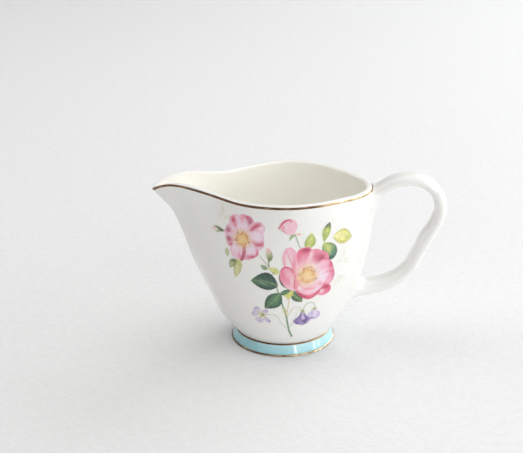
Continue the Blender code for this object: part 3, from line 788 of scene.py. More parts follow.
class Sheet:
    """Ink on a surface: places in millimetres, and at each its colour and how much it covers."""

    def __init__(self, x, y):
        self.x, self.y = x, y
        self.ink, self.cover = np.zeros((x.size, 3)), np.zeros(x.size)

    def near(self, points, margin):
        low, high = np.min(points, 0) - margin, np.max(points, 0) + margin
        i = np.flatnonzero((self.x > low[0]) & (self.x < high[0]) & (self.y > low[1]) & (self.y < high[1]))
        return i, self.x[i], self.y[i]

    def lay(self, index, colour, alpha):
        below = self.cover[index] * (1 - alpha)
        total = alpha + below
        mixed = np.clip(colour, 0, 1) * alpha[:, None] + self.ink[index] * below[:, None]
        self.ink[index] = mixed / np.maximum(total, 1e-6)[:, None]
        self.cover[index] = total

    def haze(self, cx, cy, rx, ry, turn, colour, alpha):
        """A soft wash of colour with no edge."""
        i, x, y = self.near([(cx, cy)], 2.4 * max(rx, ry))
        self.lay(i, np.tile(linear(colour), (i.size, 1)), spot(x, y, cx, cy, rx, ry, turn) * alpha)

    def line(self, points, width, colour, end=None, alpha=1.0, soft=0.2):
        """A brush line: width is a list of widths from start to end."""
        path = curve_through(points)
        i, x, y = self.near(path, 1.6)
        far, along = along_path(x, y, path)
        half = np.interp(along, np.linspace(0, 1, len(width)), width) / 2
        c = np.tile(linear(colour), (i.size, 1))
        c = toward(c, end or colour, along) * (0.92 + 0.16 * lumps(x * 1.6, y * 1.6, 5))[:, None]
        self.lay(i, c, smooth(soft, -soft, far - half) * alpha)

    def petal(self, root, tip, width, base, face, edge, washes=(), open_at=0.9, notch=0.0, bend=0.0,
            ruffle=0.04, edge_width=0.7, edge_strength=0.75, edge_from=0.25, veins=0.25, alpha=1.0,
            soft=0.22, seed=1):
        """A petal from root to tip. Its colour runs from base to face, with an edge tint and washes
        (x, y, rx, ry, turn, colour, strength). open_at 0.5 is an oval, and more opens toward the tip."""
        root, tip = np.array(root, float), np.array(tip, float)
        size = np.linalg.norm(tip - root)
        ax = (tip - root) / size
        nx = np.array([-ax[1], ax[0]])
        widest = open_at / (open_at + 0.5)
        u = (1 - np.cos(np.linspace(0, math.pi, 22))) / 2
        half = width / 2 * (u / widest) ** open_at * ((1 - u) / (1 - widest)) ** 0.5
        side = np.concatenate([half, -half[-2:0:-1]])
        u = np.concatenate([u, u[-2:0:-1]])
        wave = (lumps(u * 7 + 3 * (side > 0), side * 0.4, seed) - 0.5) * ruffle * width
        u = u - notch * np.exp(-(side / (0.2 * width)) ** 2) * smooth(0.75, 1.0, u)
        across = side + bend * np.sin(math.pi * u) + np.sign(side) * wave
        loop = root + np.outer(u * size, ax) + np.outer(across, nx)
        i, x, y = self.near(loop, 0.8)
        deep = depth_inside(x, y, loop)
        uu = ((x - root[0]) * ax[0] + (y - root[1]) * ax[1]) / size
        vv = ((x - root[0]) * nx[0] + (y - root[1]) * nx[1] - bend * np.sin(math.pi * np.clip(uu, 0,
            1))) / width
        fan = vv / (0.35 + 0.65 * np.clip(uu, 0, 1))
        rays = 0.6 * lumps(fan * 15, uu * 2.2, seed + 7) + 0.4 * lumps(fan * 34, uu * 3, seed + 9)
        c = toward(np.tile(linear(base), (i.size, 1)), face, smooth(0.1, 0.85, uu + 0.25 * (rays - 0.5)))
        for wx, wy, rx, ry, turn, colour, strength in washes:
            c = toward(c, colour,
                spot(x, y, wx, wy, rx, ry, turn) * strength * (1 - veins + 2 * veins * rays))
        rim = np.exp(-(np.maximum(deep, 0) / edge_width) ** 2) * edge_strength * smooth(edge_from,
            edge_from + 0.3, uu)
        c = toward(c, edge, rim * (0.55 + 0.7 * lumps(x * 0.45, y * 0.45, seed + 3)))
        c *= (1.0 + 0.10 * (rays - 0.5) + 0.05 * (lumps(x * 2.2, y * 2.2, seed) - 0.5))[:, None]
        self.lay(i, c, smooth(-soft, soft, deep) * alpha)

    def leaf(self, base, tip, width, edge, face, vein, end=None, bend=0.0, skew=0.0, saw=0.0,
            fullness=0.45, ribs=5.0, alpha=1.0, soft=0.2, washes=(), seed=3):
        """A leaf from base to tip with a midrib, side ribs, toothed edges and its own colours."""
        base, tip = np.array(base, float), np.array(tip, float)
        size = np.linalg.norm(tip - base)
        ax = (tip - base) / size
        i, x, y = self.near([base, tip], width + 0.6)
        u = ((x - base[0]) * ax[0] + (y - base[1]) * ax[1]) / size
        uu = np.clip(u, 0, 1)
        v = (y - base[1]) * ax[0] - (x - base[0]) * ax[1] - bend * np.sin(math.pi * uu)
        half = width / 2 * np.sin(math.pi * uu ** (math.log(0.5) / math.log(fullness))) ** 0.85
        half *= 1 + skew * np.sign(v)
        half *= 1 + saw * (np.abs((uu * 8 + 0.2 * np.sign(v)) % 1.0 - 0.5) - 0.25)
        inside = half - np.abs(v)
        beyond = np.maximum(-u, u - 1) * size
        inside = np.where(beyond > 0, -np.hypot(beyond, v), inside)
        q = np.abs(v) / np.maximum(half, 0.05)
        c = toward(np.tile(linear(face), (i.size, 1)), edge, smooth(0.3, 1.0, q) * 0.9)
        if end:
            c = toward(c, end, smooth(0.55, 1.0, uu) * 0.85)
        side_ribs = np.abs(((uu * ribs - q * 0.9) % 1.0) - 0.5) * 2
        c = toward(c, vein, smooth(0.7, 1.0, side_ribs) * (1 - q) * 0.4)
        c = toward(c, vein, np.exp(-(v / (0.045 * width + 0.08)) ** 2) * 0.75 * (1 - 0.6 * uu))
        for wx, wy, rx, ry, turn, colour, strength in washes:
            c = toward(c, colour, spot(x, y, wx, wy, rx, ry, turn) * strength)
        c *= (0.90 + 0.2 * lumps(x * 0.9, y * 0.9, seed))[:, None]
        self.lay(i, c, smooth(-soft, soft, inside) * alpha)


# ------------------------------------------------------------------ the printed spray
# Places are (along, up) in millimetres: along the body's girth from the middle of its side, and up from the
# waist. The layout follows the photographed print; petals, folds, veins and brush work are drawn here.
WHITE_PINK, PALE, PINK, ROSE, DEEP, WINE = ((252, 236, 242), (250, 208, 220), (247, 168, 190),
    (238, 128, 156), (216, 84, 118), (184, 58, 92))
LILAC_WHITE = (247, 230, 244)
TEAL, BOTTLE, GREEN, SAGE, LIME, YELLOW = ((38, 76, 68), (58, 98, 84), (92, 134, 98), (146, 174, 126),
    (198, 210, 128), (236, 232, 150))
VIOLET, MAUVE, LAVENDER = (112, 84, 150), (176, 154, 208), (222, 208, 238)
GOLD_PALE, GOLD, AMBER, BROWN = (252, 226, 160), (240, 190, 112), (222, 158, 88), (170, 112, 62)


def stamens(sheet, cx, cy, rx, ry, ring, middle, seed):
    """Heart of a rose: a golden ring of stamens with darker tips round a pale middle."""
    sheet.haze(cx, cy, rx * 0.98, ry * 0.98, 0, ring, 0.75)
    sheet.haze(cx, cy, rx * 0.75, ry * 0.75, 0, ring, 0.85)
    for i in range(64):
        turn = i * 2.399963 + seed
        chance = float(hashed(np.int64(i), np.int64(seed), 3))
        reach = 0.56 + 0.46 * chance
        x, y = cx + rx * reach * math.cos(turn), cy + ry * reach * math.sin(turn)
        sheet.line([(cx + (x - cx) * 0.45, cy + (y - cy) * 0.45), (x, y)], [0.18, 0.3],
            AMBER if i % 2 else GOLD_PALE, alpha=0.6, soft=0.16)
        size = 0.30 + 0.16 * float(hashed(np.int64(i), np.int64(seed), 5))
        sheet.haze(x, y, size, size, 0, (BROWN, AMBER, GOLD_PALE)[i % 3] if chance > 0.45 else AMBER, 0.75)
    sheet.haze(cx, cy - 0.1 * ry, rx * 0.42, ry * 0.40, 0, middle, 0.9)
    for i in range(9):
        turn = i * 2.399963
        sheet.haze(cx + 0.9 * math.cos(turn), cy - 0.1 * ry + 0.9 * math.sin(turn), 0.28, 0.28, 0, GOLD,
            0.55)


def paint_big_rose(sheet):
    """The open rose: two folded petals on the left, a wide bowl round the stamens, and curled lower edges."""
    petal = sheet.petal
    petal((5.8, 40.0), (2.0, 56.6), 7.6, PALE, PALE, PINK, open_at=0.62, bend=0.6, edge_width=1.0,
        seed=11, washes=[(2.2, 47.6, 1.3, 4.0, 10, (246, 238, 238), 0.95),
        (-0.9, 47, 1.0, 5, 0, ROSE, 0.6), (4.8, 47.5, 0.9, 5, 0, ROSE, 0.65)])
    sheet.line([(1.2, 54.6), (2.4, 50.8), (4.0, 46.8), (5.0, 42.6)], [0.2, 0.55, 0.3], ROSE, alpha=0.75)
    petal((11.6, 40.6), (9.6, 56.8), 8.6, WHITE_PINK, ROSE, PINK, open_at=0.95, notch=0.03, bend=0.4,
        seed=12, washes=[(10.6, 55.0, 3.0, 1.7, -5, WINE, 0.80), (7.0, 50.5, 1.0, 3.8, 0, ROSE, 0.7),
        (9.8, 50.0, 2.2, 2.6, 0, PINK, 0.7), (8.0, 46.2, 1.6, 2.0, 0, PALE, 0.7)])
    petal((12.0, 40.4), (18.4, 54.4), 12.0, WHITE_PINK, PINK, ROSE, open_at=0.95, notch=0.04, seed=13,
        washes=[(18.2, 49.8, 2.5, 2.5, 40, WINE, 0.9), (15.4, 50.2, 2.2, 2.8, 20, DEEP, 0.55),
        (17.0, 47.6, 1.6, 1.2, 30, DEEP, 0.5), (13.0, 52.0, 0.9, 3.0, -8, WHITE_PINK, 0.7),
        (14.6, 45.4, 2.6, 1.7, 0, WHITE_PINK, 0.85)])
    petal((13.0, 40.2), (25.5, 43.2), 14.4, LILAC_WHITE, (247, 186, 208), DEEP, open_at=0.85, notch=0.03,
        seed=14, edge_width=0.8, washes=[(23.4, 45.4, 1.3, 2.4, -15, DEEP, 0.8),
        (23.9, 40.8, 1.4, 2.2, 10, DEEP, 0.6), (19.6, 44.6, 2.6, 1.2, 20, PINK, 0.6),
        (18.6, 41.0, 3.6, 2.6, 0, LILAC_WHITE, 0.85), (21.8, 37.6, 2.4, 1.0, 40, ROSE, 0.6),
        (19.4, 37.4, 2.4, 1.4, 20, LILAC_WHITE, 0.6)])
    sheet.line([(18.6, 40.6), (20.8, 41.7), (24.4, 41.9)], [0.2, 0.5, 0.6], DEEP, alpha=0.6)
    petal((13.6, 34.4), (24.0, 31.6), 7.2, ROSE, ROSE, PINK, open_at=0.62, seed=15, bend=-0.4,
        washes=[(21.2, 33.4, 2.6, 1.2, 10, WINE, 0.85), (18.5, 31.4, 1.6, 1.1, 0, (248, 236, 242), 0.9),
        (23.0, 31.4, 0.9, 1.4, 0, DEEP, 0.7), (18.4, 29.4, 1.8, 0.7, 20, PINK, 0.7)])
    petal((5.6, 34.0), (18.2, 32.4), 6.8, DEEP, ROSE, DEEP, open_at=0.5, bend=-2.0, edge_width=0.9,
        seed=16, washes=[(8.8, 30.6, 2.2, 1.2, -30, WINE, 0.85),
        (12.4, 30.7, 2.6, 0.5, 2, WHITE_PINK, 0.85), (15.8, 31.6, 1.8, 0.9, 30, WINE, 0.7)])
    petal((20.2, 39.4), (5.2, 34.8), 11.2, LILAC_WHITE, PALE, PINK, open_at=0.56, bend=0.9,
        edge_width=0.8, seed=17, edge_from=0.1, washes=[(6.6, 37.4, 1.0, 2.8, 25, ROSE, 0.6),
        (12.2, 33.8, 3.6, 1.0, 5, PINK, 0.8), (16.6, 36.2, 2.4, 1.0, 30, PINK, 0.6),
        (7.6, 34.6, 1.5, 1.0, -40, WHITE_PINK, 0.9), (12.4, 36.4, 4.6, 1.3, 8, LILAC_WHITE, 0.8),
        (18.2, 35.6, 1.2, 1.0, 30, ROSE, 0.7)])
    sheet.line([(5.4, 42.4), (6.0, 38.8), (7.8, 35.8), (10.6, 33.9), (14.6, 33.6)], [0.3, 0.5, 0.35],
        ROSE, alpha=0.55)
    petal((5.4, 33.2), (-0.2, 46.2), 7.4, PALE, PINK, ROSE, open_at=0.58, bend=0.5, edge_width=0.8,
        seed=18, washes=[(-0.6, 41.4, 0.9, 3.6, 15, ROSE, 0.75), (2.4, 42.6, 1.3, 1.8, 20, PALE, 0.8),
        (4.2, 37.6, 0.8, 2.8, 10, WHITE_PINK, 0.7), (1.6, 38.4, 1.0, 2.6, 25, ROSE, 0.55)])
    sheet.line([(-1.9, 43.6), (-1.0, 45.5), (1.0, 46.2), (3.2, 45.3), (4.8, 43.0)], [0.4, 0.7, 0.35],
        DEEP, alpha=0.85)
    sheet.line([(2.8, 44.0), (2.2, 40.4), (3.2, 37.0), (4.6, 34.4)], [0.2, 0.3, 0.2], ROSE, alpha=0.5)
    petal((5.6, 33.6), (6.4, 42.4), 3.0, PINK, PALE, PINK, open_at=0.5, bend=0.4, edge_width=0.4, seed=19,
        washes=[(5.8, 38.2, 0.7, 2.8, 0, ROSE, 0.6)])
    sheet.line([(5.2, 33.8), (4.9, 36.8), (5.2, 40.0), (5.8, 42.6)], [0.3, 0.55, 0.3], DEEP, alpha=0.75)
    for angle in range(0, 360, 18):
        turn = math.radians(angle)
        sheet.line([(11.3 + 4.0 * math.cos(turn), 41.1 + 4.4 * math.sin(turn)),
            (11.3 + 6.6 * math.cos(turn), 41.1 + 7.0 * math.sin(turn))], [0.35, 0.1], ROSE, alpha=0.26)
    stamens(sheet, 11.3, 41.1, 4.7, 5.1, (244, 204, 134), (252, 232, 196), 2)


def paint_small_rose(sheet):
    """The smaller rose, seen full face, its petals blotched deep pink."""
    pale_edge = (238, 176, 200)

    def petal(tip, width, seed, washes, face=(248, 220, 234), edge=pale_edge, open_at=0.85, bend=0.0,
            edge_strength=0.55):
        sheet.petal((-20.8, 59.7), tip, width, LILAC_WHITE, face, edge, washes, open_at=open_at,
            bend=bend, notch=0.05, ruffle=0.09, edge_strength=edge_strength, veins=0.4, seed=seed)

    petal((-26.6, 71.2), 7.2, 21, [(-25.9, 68.4, 1.6, 2.2, 10, DEEP, 0.9),
        (-24.2, 66.0, 1.4, 1.2, 0, ROSE, 0.85), (-23.4, 70.2, 0.8, 1.4, 0, LILAC_WHITE, 0.8)])
    petal((-18.4, 72.4), 9.0, 22, [(-17.0, 68.8, 1.8, 3.2, 8, WINE, 0.95),
        (-18.4, 71.0, 2.4, 1.2, -10, DEEP, 0.85), (-21.2, 69.6, 0.8, 1.9, 10, ROSE, 0.7),
        (-19.4, 66.4, 1.8, 2.4, 0, LILAC_WHITE, 0.85)])
    petal((-9.8, 68.4), 7.4, 23, [(-13.8, 67.0, 3.2, 1.5, 28, DEEP, 0.9),
        (-15.8, 65.2, 1.4, 1.0, 30, DEEP, 0.75), (-11.2, 65.8, 1.6, 0.9, 20, WHITE_PINK, 0.7),
        (-13.8, 64.2, 2.2, 0.7, 15, ROSE, 0.6)])
    petal((-30.8, 63.6), 7.4, 28, [(-28.6, 62.9, 1.7, 1.8, 0, WINE, 0.85),
        (-26.2, 62.4, 1.4, 0.9, 10, PINK, 0.6)])
    petal((-30.2, 57.0), 7.8, 25, [(-28.2, 58.4, 1.8, 1.8, 0, WINE, 0.85),
        (-27.0, 55.9, 1.4, 1.0, 30, DEEP, 0.85), (-26.2, 58.4, 1.2, 0.8, 0, ROSE, 0.5)])
    petal((-9.2, 59.6), 9.8, 24, [(-12.6, 57.7, 2.9, 1.3, 5, DEEP, 0.9),
        (-15.2, 58.6, 1.6, 0.9, 0, ROSE, 0.75), (-12.6, 61.6, 2.4, 1.8, 0, LILAC_WHITE, 0.85),
        (-10.6, 58.6, 0.9, 1.3, 0, DEEP, 0.6)])
    petal((-23.8, 48.4), 9.6, 26, [(-22.2, 50.6, 1.4, 1.6, 0, ROSE, 0.7),
        (-25.8, 52.2, 1.6, 1.0, 0, PALE, 0.7), (-24.2, 54.6, 1.6, 1.6, 0, LILAC_WHITE, 0.7)])
    petal((-15.6, 49.4), 9.8, 27, [(-15.8, 50.9, 3.6, 1.1, 8, DEEP, 0.9),
        (-16.6, 54.6, 2.2, 2.0, 0, LILAC_WHITE, 0.9), (-13.0, 53.0, 0.9, 2.6, 0, DEEP, 0.7)], edge=ROSE)
    sheet.line([(-20.4, 57.4), (-19.8, 54.2), (-20.2, 51.0), (-21.2, 48.7)], [0.6, 2.0, 1.6], DEEP, WINE,
        alpha=0.8)
    for angle in range(8, 368, 24):
        turn = math.radians(angle)
        sheet.line([(-20.8 + 3.2 * math.cos(turn), 59.7 + 3.4 * math.sin(turn)),
            (-20.8 + 5.6 * math.cos(turn), 59.7 + 5.8 * math.sin(turn))], [0.35, 0.1], ROSE, alpha=0.4)
    stamens(sheet, -20.8, 59.7, 4.1, 4.3, (232, 190, 116), (246, 226, 176), 5)


def paint_stems(sheet):
    """The thin stems under the flowers, from the foot of the spray up to each of them."""
    line = sheet.line
    line([(-3.6, 36.4), (-3.2, 33.4), (-2.0, 31.2), (-1.6, 29.0), (-0.6, 24.6), (0.9, 19.8), (1.7, 15.0),
        (2.5, 10.0), (4.0, 5.6)], [0.5, 0.7, 0.75, 0.8, 0.8, 0.85, 0.9], SAGE, (132, 158, 124))
    line([(-1.9, 30.0), (-0.2, 23.6), (1.3, 18.4), (2.0, 14.0), (2.9, 9.0), (3.9, 6.2)], [0.15, 0.25,
        0.3], BOTTLE, alpha=0.45)
    line([(-0.1, 23.6), (0.5, 21.8), (0.9, 20.2)], [0.8, 1.5, 0.9], (196, 204, 140), alpha=0.9)
    line([(2.6, 29.0), (2.2, 25.4), (1.6, 21.6), (1.2, 18.8)], [0.5, 0.45, 0.4], (220, 196, 120), alpha=0.8)
    line([(-7.0, 19.4), (-4.4, 19.3), (-2.6, 17.6), (-1.4, 15.0), (1.4, 11.8)], [0.35, 0.35, 0.35],
        (196, 204, 172), alpha=0.75)
    line([(2.4, 10.8), (4.0, 13.8), (5.6, 17.4), (6.6, 20.0)], [0.35, 0.35, 0.3], (196, 204, 172),
        alpha=0.7)
    line([(1.5, 17.6), (2.8, 20.4), (4.6, 22.8), (7.2, 23.6), (9.6, 21.6)], [0.35, 0.35, 0.3],
        (190, 200, 164), alpha=0.75)
    line([(9.6, 20.8), (9.8, 22.9), (11.6, 25.3), (13.9, 25.7), (15.5, 24.2), (15.3, 21.8)], [0.4, 0.4,
        0.4], (172, 184, 140), alpha=0.9)
    line([(-12.4, 52.3), (-10.6, 50.4), (-8.9, 48.2), (-6.9, 45.4), (-5.2, 42.4)], [0.3, 0.45, 0.6],
        (172, 182, 140), alpha=0.9)


def paint_foliage(sheet):
    """Leaves and their yellow linings, darkest behind the open rose."""
    leaf, line, haze = sheet.leaf, sheet.line, sheet.haze
    leaf((-2.2, 42.6), (5.4, 33.4), 5.4, TEAL, BOTTLE, SAGE, bend=-0.4, saw=0.1, seed=31,
        washes=[(-1.4, 40.8, 0.9, 1.0, 0, SAGE, 0.6)])
    leaf((-3.0, 36.2), (-16.4, 38.2), 9.4, TEAL, BOTTLE, SAGE, GREEN, bend=-1.2, skew=-0.05, saw=0.10,
        fullness=0.44, washes=[(-10.5, 37.2, 2.4, 0.8, -14, (146, 184, 150), 0.6),
        (-12.0, 41.2, 2.6, 1.0, 0, TEAL, 0.5), (-8.0, 36.0, 2.6, 1.0, 0, GREEN, 0.5)], seed=32)
    leaf((-1.7, 31.9), (-9.3, 23.0), 8.0, BOTTLE, GREEN, SAGE, TEAL, bend=0.4, saw=0.12, fullness=0.46,
        seed=33, washes=[(-4.4, 28.4, 2.0, 1.2, 50, (118, 160, 112), 0.6),
        (-7.2, 29.6, 0.8, 1.6, 0, BOTTLE, 0.5)])
    leaf((-2.4, 31.4), (6.4, 32.6), 3.2, BOTTLE, GREEN, SAGE, bend=0.6, saw=0.1, seed=34)
    leaf((3.4, 31.6), (8.9, 26.6), 4.6, TEAL, GREEN, LIME, bend=0.3, saw=0.12, seed=35)
    leaf((4.6, 32.2), (-0.6, 30.4), 2.6, LIME, YELLOW, LIME, bend=0.6, alpha=0.9, seed=36)
    leaf((4.4, 33.6), (1.6, 28.2), 2.6, (206, 206, 120), (232, 224, 140), LIME, bend=-0.3, alpha=0.9,
        seed=37)
    leaf((-2.6, 44.4), (-7.8, 45.6), 2.6, (214, 212, 120), YELLOW, SAGE, bend=0.3, alpha=0.9, seed=38)
    leaf((-5.6, 43.2), (-1.6, 43.6), 2.2, LIME, YELLOW, SAGE, alpha=0.9, seed=39)
    leaf((-8.0, 45.0), (-11.4, 47.0), 2.3, GREEN, SAGE, SAGE, bend=0.2, alpha=0.95, seed=40)
    # leaves on the right: a slender one, a round one, a pointed one and a broad yellow one
    leaf((19.4, 57.6), (22.6, 67.8), 4.2, (176, 194, 96), LIME, YELLOW, TEAL, bend=0.5, fullness=0.55,
        seed=41, washes=[(19.7, 60.2, 0.6, 3.0, -8, GREEN, 0.55),
        (21.0, 66.6, 1.4, 1.2, 0, BOTTLE, 0.7)])
    leaf((24.2, 60.0), (35.6, 57.9), 7.8, (196, 196, 104), (242, 236, 160), (250, 244, 200),
        (206, 208, 130), bend=0.3, fullness=0.5, ribs=5,
        washes=[(33.0, 58.0, 2.2, 1.2, -20, (190, 196, 110), 0.6),
        (28.4, 61.2, 2.6, 1.2, 0, (248, 240, 184), 0.5)], seed=42)
    sheet.petal((19.2, 57.6), (24.6, 48.4), 7.8, (190, 208, 132), (110, 152, 116), (62, 104, 88),
        open_at=0.7, bend=0.6, edge_width=0.9, edge_strength=0.85, edge_from=0.0, veins=0.2, seed=43,
        washes=[(24.4, 51.4, 2.2, 2.6, 0, (92, 142, 124), 0.7),
        (22.0, 53.8, 1.2, 2.2, 20, (222, 224, 140), 0.8), (23.4, 49.3, 2.4, 0.9, 0, BOTTLE, 0.85)])
    line([(19.6, 57.2), (21.4, 54.2), (23.2, 50.6)], [0.3, 0.2], (214, 220, 150), alpha=0.6)
    leaf((10.8, 55.4), (13.2, 63.6), 5.4, (168, 186, 104), LIME, YELLOW, (214, 218, 140), bend=-0.7,
        fullness=0.42, seed=44, washes=[(9.2, 58.2, 1.0, 1.8, 0, (158, 178, 96), 0.5)])
    line([(19.4, 57.4), (18.4, 56.2), (17.0, 54.6)], [0.4, 0.3], (206, 208, 150), alpha=0.5)
    # under the small rose
    leaf((-23.2, 49.0), (-24.6, 38.4), 4.4, (190, 194, 112), (214, 210, 136), YELLOW, bend=0.5, alpha=0.8,
        seed=45)
    leaf((-24.6, 48.2), (-27.6, 43.0), 3.6, (120, 140, 84), (178, 182, 110), LIME, bend=-0.3, alpha=0.85,
        seed=46)
    leaf((-24.4, 48.2), (-20.6, 45.2), 3.0, (196, 198, 120), (214, 210, 140), LIME, alpha=0.75, seed=47)
    haze(-25.4, 47.5, 1.5, 1.1, 10, TEAL, 0.75)
    leaf((-29.4, 53.4), (-29.0, 48.6), 2.4, (150, 164, 96), (196, 200, 128), LIME, alpha=0.75, seed=48)


def paint_buds(sheet):
    """Three rosebuds: one opening at the top, one on a thin stem, and one in leaf at the far left."""
    petal, line, leaf, haze = sheet.petal, sheet.line, sheet.leaf, sheet.haze
    line([(4.8, 63.4), (5.9, 60.9), (7.0, 57.6), (7.6, 56.2)], [0.5, 0.45, 0.4], (150, 158, 116), alpha=0.9)
    petal((3.2, 63.0), (1.6, 71.2), 7.6, PALE, PALE, PINK, open_at=0.62, seed=51, edge_width=0.6,
        washes=[(3.6, 67.2, 1.6, 2.2, 0, PALE, 0.8), (0.4, 67.4, 1.2, 1.4, 0, WHITE_PINK, 0.6)])
    line([(-2.5, 66.6), (-1.5, 68.5), (0.4, 70.2), (2.2, 70.6), (3.4, 69.6)], [0.9, 1.3, 0.5], DEEP,
        alpha=0.8)
    line([(-2.3, 66.8), (-1.0, 65.4), (0.8, 64.2)], [0.6, 0.7, 0.3], DEEP, alpha=0.55)
    haze(-0.6, 67.0, 0.9, 0.9, 0, ROSE, 0.6)
    leaf((3.9, 63.4), (2.4, 60.2), 1.3, SAGE, (164, 184, 120), LIME, alpha=0.9, seed=52)
    haze(6.6, 63.2, 1.7, 0.5, -5, (246, 176, 160), 0.8)
    leaf((5.0, 63.4), (3.2, 61.4), 1.0, GREEN, SAGE, LIME, alpha=0.8, seed=53)
    line([(-7.3, 46.2), (-7.6, 48.4), (-7.3, 50.4)], [0.5, 0.6, 0.8], (140, 158, 110))
    haze(-7.6, 54.6, 1.0, 1.2, 0, (240, 150, 160), 0.8)
    haze(-8.2, 55.6, 0.5, 0.5, 0, DEEP, 0.5)
    leaf((-7.2, 49.6), (-6.2, 54.6), 1.9, (150, 158, 110), (184, 190, 140), LIME, alpha=0.9, seed=54)
    leaf((-7.5, 49.8), (-8.6, 54.2), 1.5, (156, 160, 118), (206, 200, 160), LIME, alpha=0.85, seed=55)
    leaf((-7.2, 49.0), (-5.4, 52.6), 1.2, GREEN, SAGE, LIME, alpha=0.85, seed=56)
    haze(-7.2, 50.6, 0.8, 1.2, 0, (104, 118, 70), 0.7)
    line([(-30.6, 61.7), (-33.6, 61.8)], [0.5, 0.5], (112, 120, 84))
    haze(-37.2, 61.3, 1.6, 0.8, 0, (244, 190, 186), 0.8)
    leaf((-31.6, 61.8), (-37.6, 62.6), 1.5, (96, 104, 70), (150, 156, 110), SAGE, seed=57)
    leaf((-32.0, 61.6), (-36.6, 59.9), 1.1, (120, 128, 84), (176, 180, 130), SAGE, alpha=0.85, seed=58)
    leaf((-31.0, 61.7), (-34.6, 61.6), 1.5, (84, 92, 62), (104, 112, 76), SAGE, seed=59)
    for x, y, rx, ry, turn in ((-33.6, 68.6, 1.7, 0.7, 60), (-32.6, 72.0, 0.6, 2.0, 10),
            (-30.4, 68.4, 1.2, 0.6, 40), (32.6, 46.4, 1.5, 0.6, -30), (28.0, 46.8, 1.8, 0.5, 20),
            (29.4, 37.2, 1.9, 0.8, -10), (28.2, 35.2, 0.6, 1.6, 0), (31.0, 50.0, 0.6, 2.0, -20)):
        haze(x, y, rx, ry, turn, (222, 222, 186), 0.5)


def paint_violets(sheet):
    """A pale open violet on the left and two nodding bells on the right."""
    petal, line, haze = sheet.petal, sheet.line, sheet.haze
    for tip, width, strength in (((-14.4, 23.4), 3.8, 0.8), ((-8.0, 22.2), 2.6, 0.6),
            ((-16.2, 19.4), 3.2, 0.6), ((-6.4, 14.6), 2.4, 1.0), ((-12.2, 14.0), 4.2, 0.5)):
        petal((-11.0, 18.8), tip, width, (240, 236, 226), (230, 220, 238), MAUVE, open_at=0.9, ruffle=0.3,
            notch=0.08, edge_strength=0.6, seed=int(60 + tip[1]),
            washes=[(*tip, 1.5, 1.5, 0, MAUVE, strength)], alpha=0.88, soft=0.3)
        line([(-11.0, 18.8), tip], [0.2, 0.5, 0.3], (150, 124, 186), alpha=0.35)
    haze(-10.8, 18.8, 1.5, 1.3, 0, (226, 222, 150), 0.8)
    for tip in ((-12.6, 20.4), (-9.0, 17.2), (-7.4, 19.3), (-11.8, 17.0), (-10.6, 21.4)):
        line([(-10.4, 18.9), tip], [0.6, 0.25], (150, 150, 92), alpha=0.75)
    petal((15.2, 22.0), (15.0, 15.0), 7.0, LAVENDER, LAVENDER, MAUVE, open_at=1.15, ruffle=0.22,
        notch=0.06, edge_width=0.6, edge_from=0.2, veins=0.5, seed=72, alpha=0.92, soft=0.3,
        washes=[(13.6, 16.0, 1.6, 0.8, 0, VIOLET, 0.8), (16.0, 19.0, 0.8, 2.0, 10, (240, 232, 248), 0.8),
        (18.0, 17.0, 1.0, 1.0, 0, MAUVE, 0.5), (14.0, 19.4, 0.6, 1.6, 0, MAUVE, 0.6)])
    petal((9.4, 20.9), (10.6, 12.9), 6.0, MAUVE, MAUVE, MAUVE, open_at=1.2, bend=-0.3, ruffle=0.2,
        seed=73, soft=0.3, washes=[(12.0, 14.2, 1.4, 0.8, 0, LAVENDER, 0.7),
        (11.0, 15.4, 1.0, 1.6, 0, VIOLET, 0.6)])
    petal((9.2, 20.9), (7.2, 12.6), 6.4, MAUVE, MAUVE, VIOLET, open_at=1.2, bend=0.7, ruffle=0.24,
        notch=0.07, edge_width=0.6, edge_strength=0.9, edge_from=0.1, veins=0.6, seed=74, soft=0.3,
        washes=[(6.2, 14.4, 1.2, 0.9, 30, VIOLET, 0.7), (8.6, 13.3, 1.4, 0.5, 10, LAVENDER, 0.6),
        (9.6, 17.8, 0.7, 2.0, 0, (240, 232, 248), 0.85), (8.0, 17.2, 0.5, 2.4, -10, VIOLET, 0.5)])
    haze(9.9, 14.9, 1.0, 0.9, 0, (62, 42, 88), 0.85)
    line([(10.3, 19.6), (10.8, 17.4), (12.2, 15.6), (13.4, 14.6)], [0.4, 0.5, 0.3], VIOLET, alpha=0.6)
    line([(8.4, 20.0), (7.2, 17.4), (5.6, 14.9), (4.9, 13.8)], [0.4, 0.5, 0.3], VIOLET, alpha=0.6)
    for start, tips in (((9.2, 21.2), ((8.0, 20.0), (10.4, 19.6), (7.6, 22.2))),
            ((15.3, 22.0), ((13.6, 21.0), (17.0, 21.2), (15.4, 20.2)))):
        haze(start[0], start[1] - 0.3, 1.2, 0.8, 0, (206, 206, 140), 0.75)
        for tip in tips:
            line([start, tip], [0.6, 0.2], (156, 166, 100), alpha=0.85)


def paint_spray(sheet):
    for part in (paint_stems, paint_foliage, paint_buds, paint_violets, paint_small_rose, paint_big_rose):
        part(sheet)


# ------------------------------------------------------------------ the printed films
PRINT_CELL = 0.223
PRINT_ALONG = (-39.5, 37.0)
PRINT_UP = (3.5, 74.5)
PRINT_LIFT, PRINT_DEPTH = 0.03, 0.12
LEAST_INK = 0.004
INK_RICHNESS = 1.14
SIDE_REACH = math.radians(75.0)


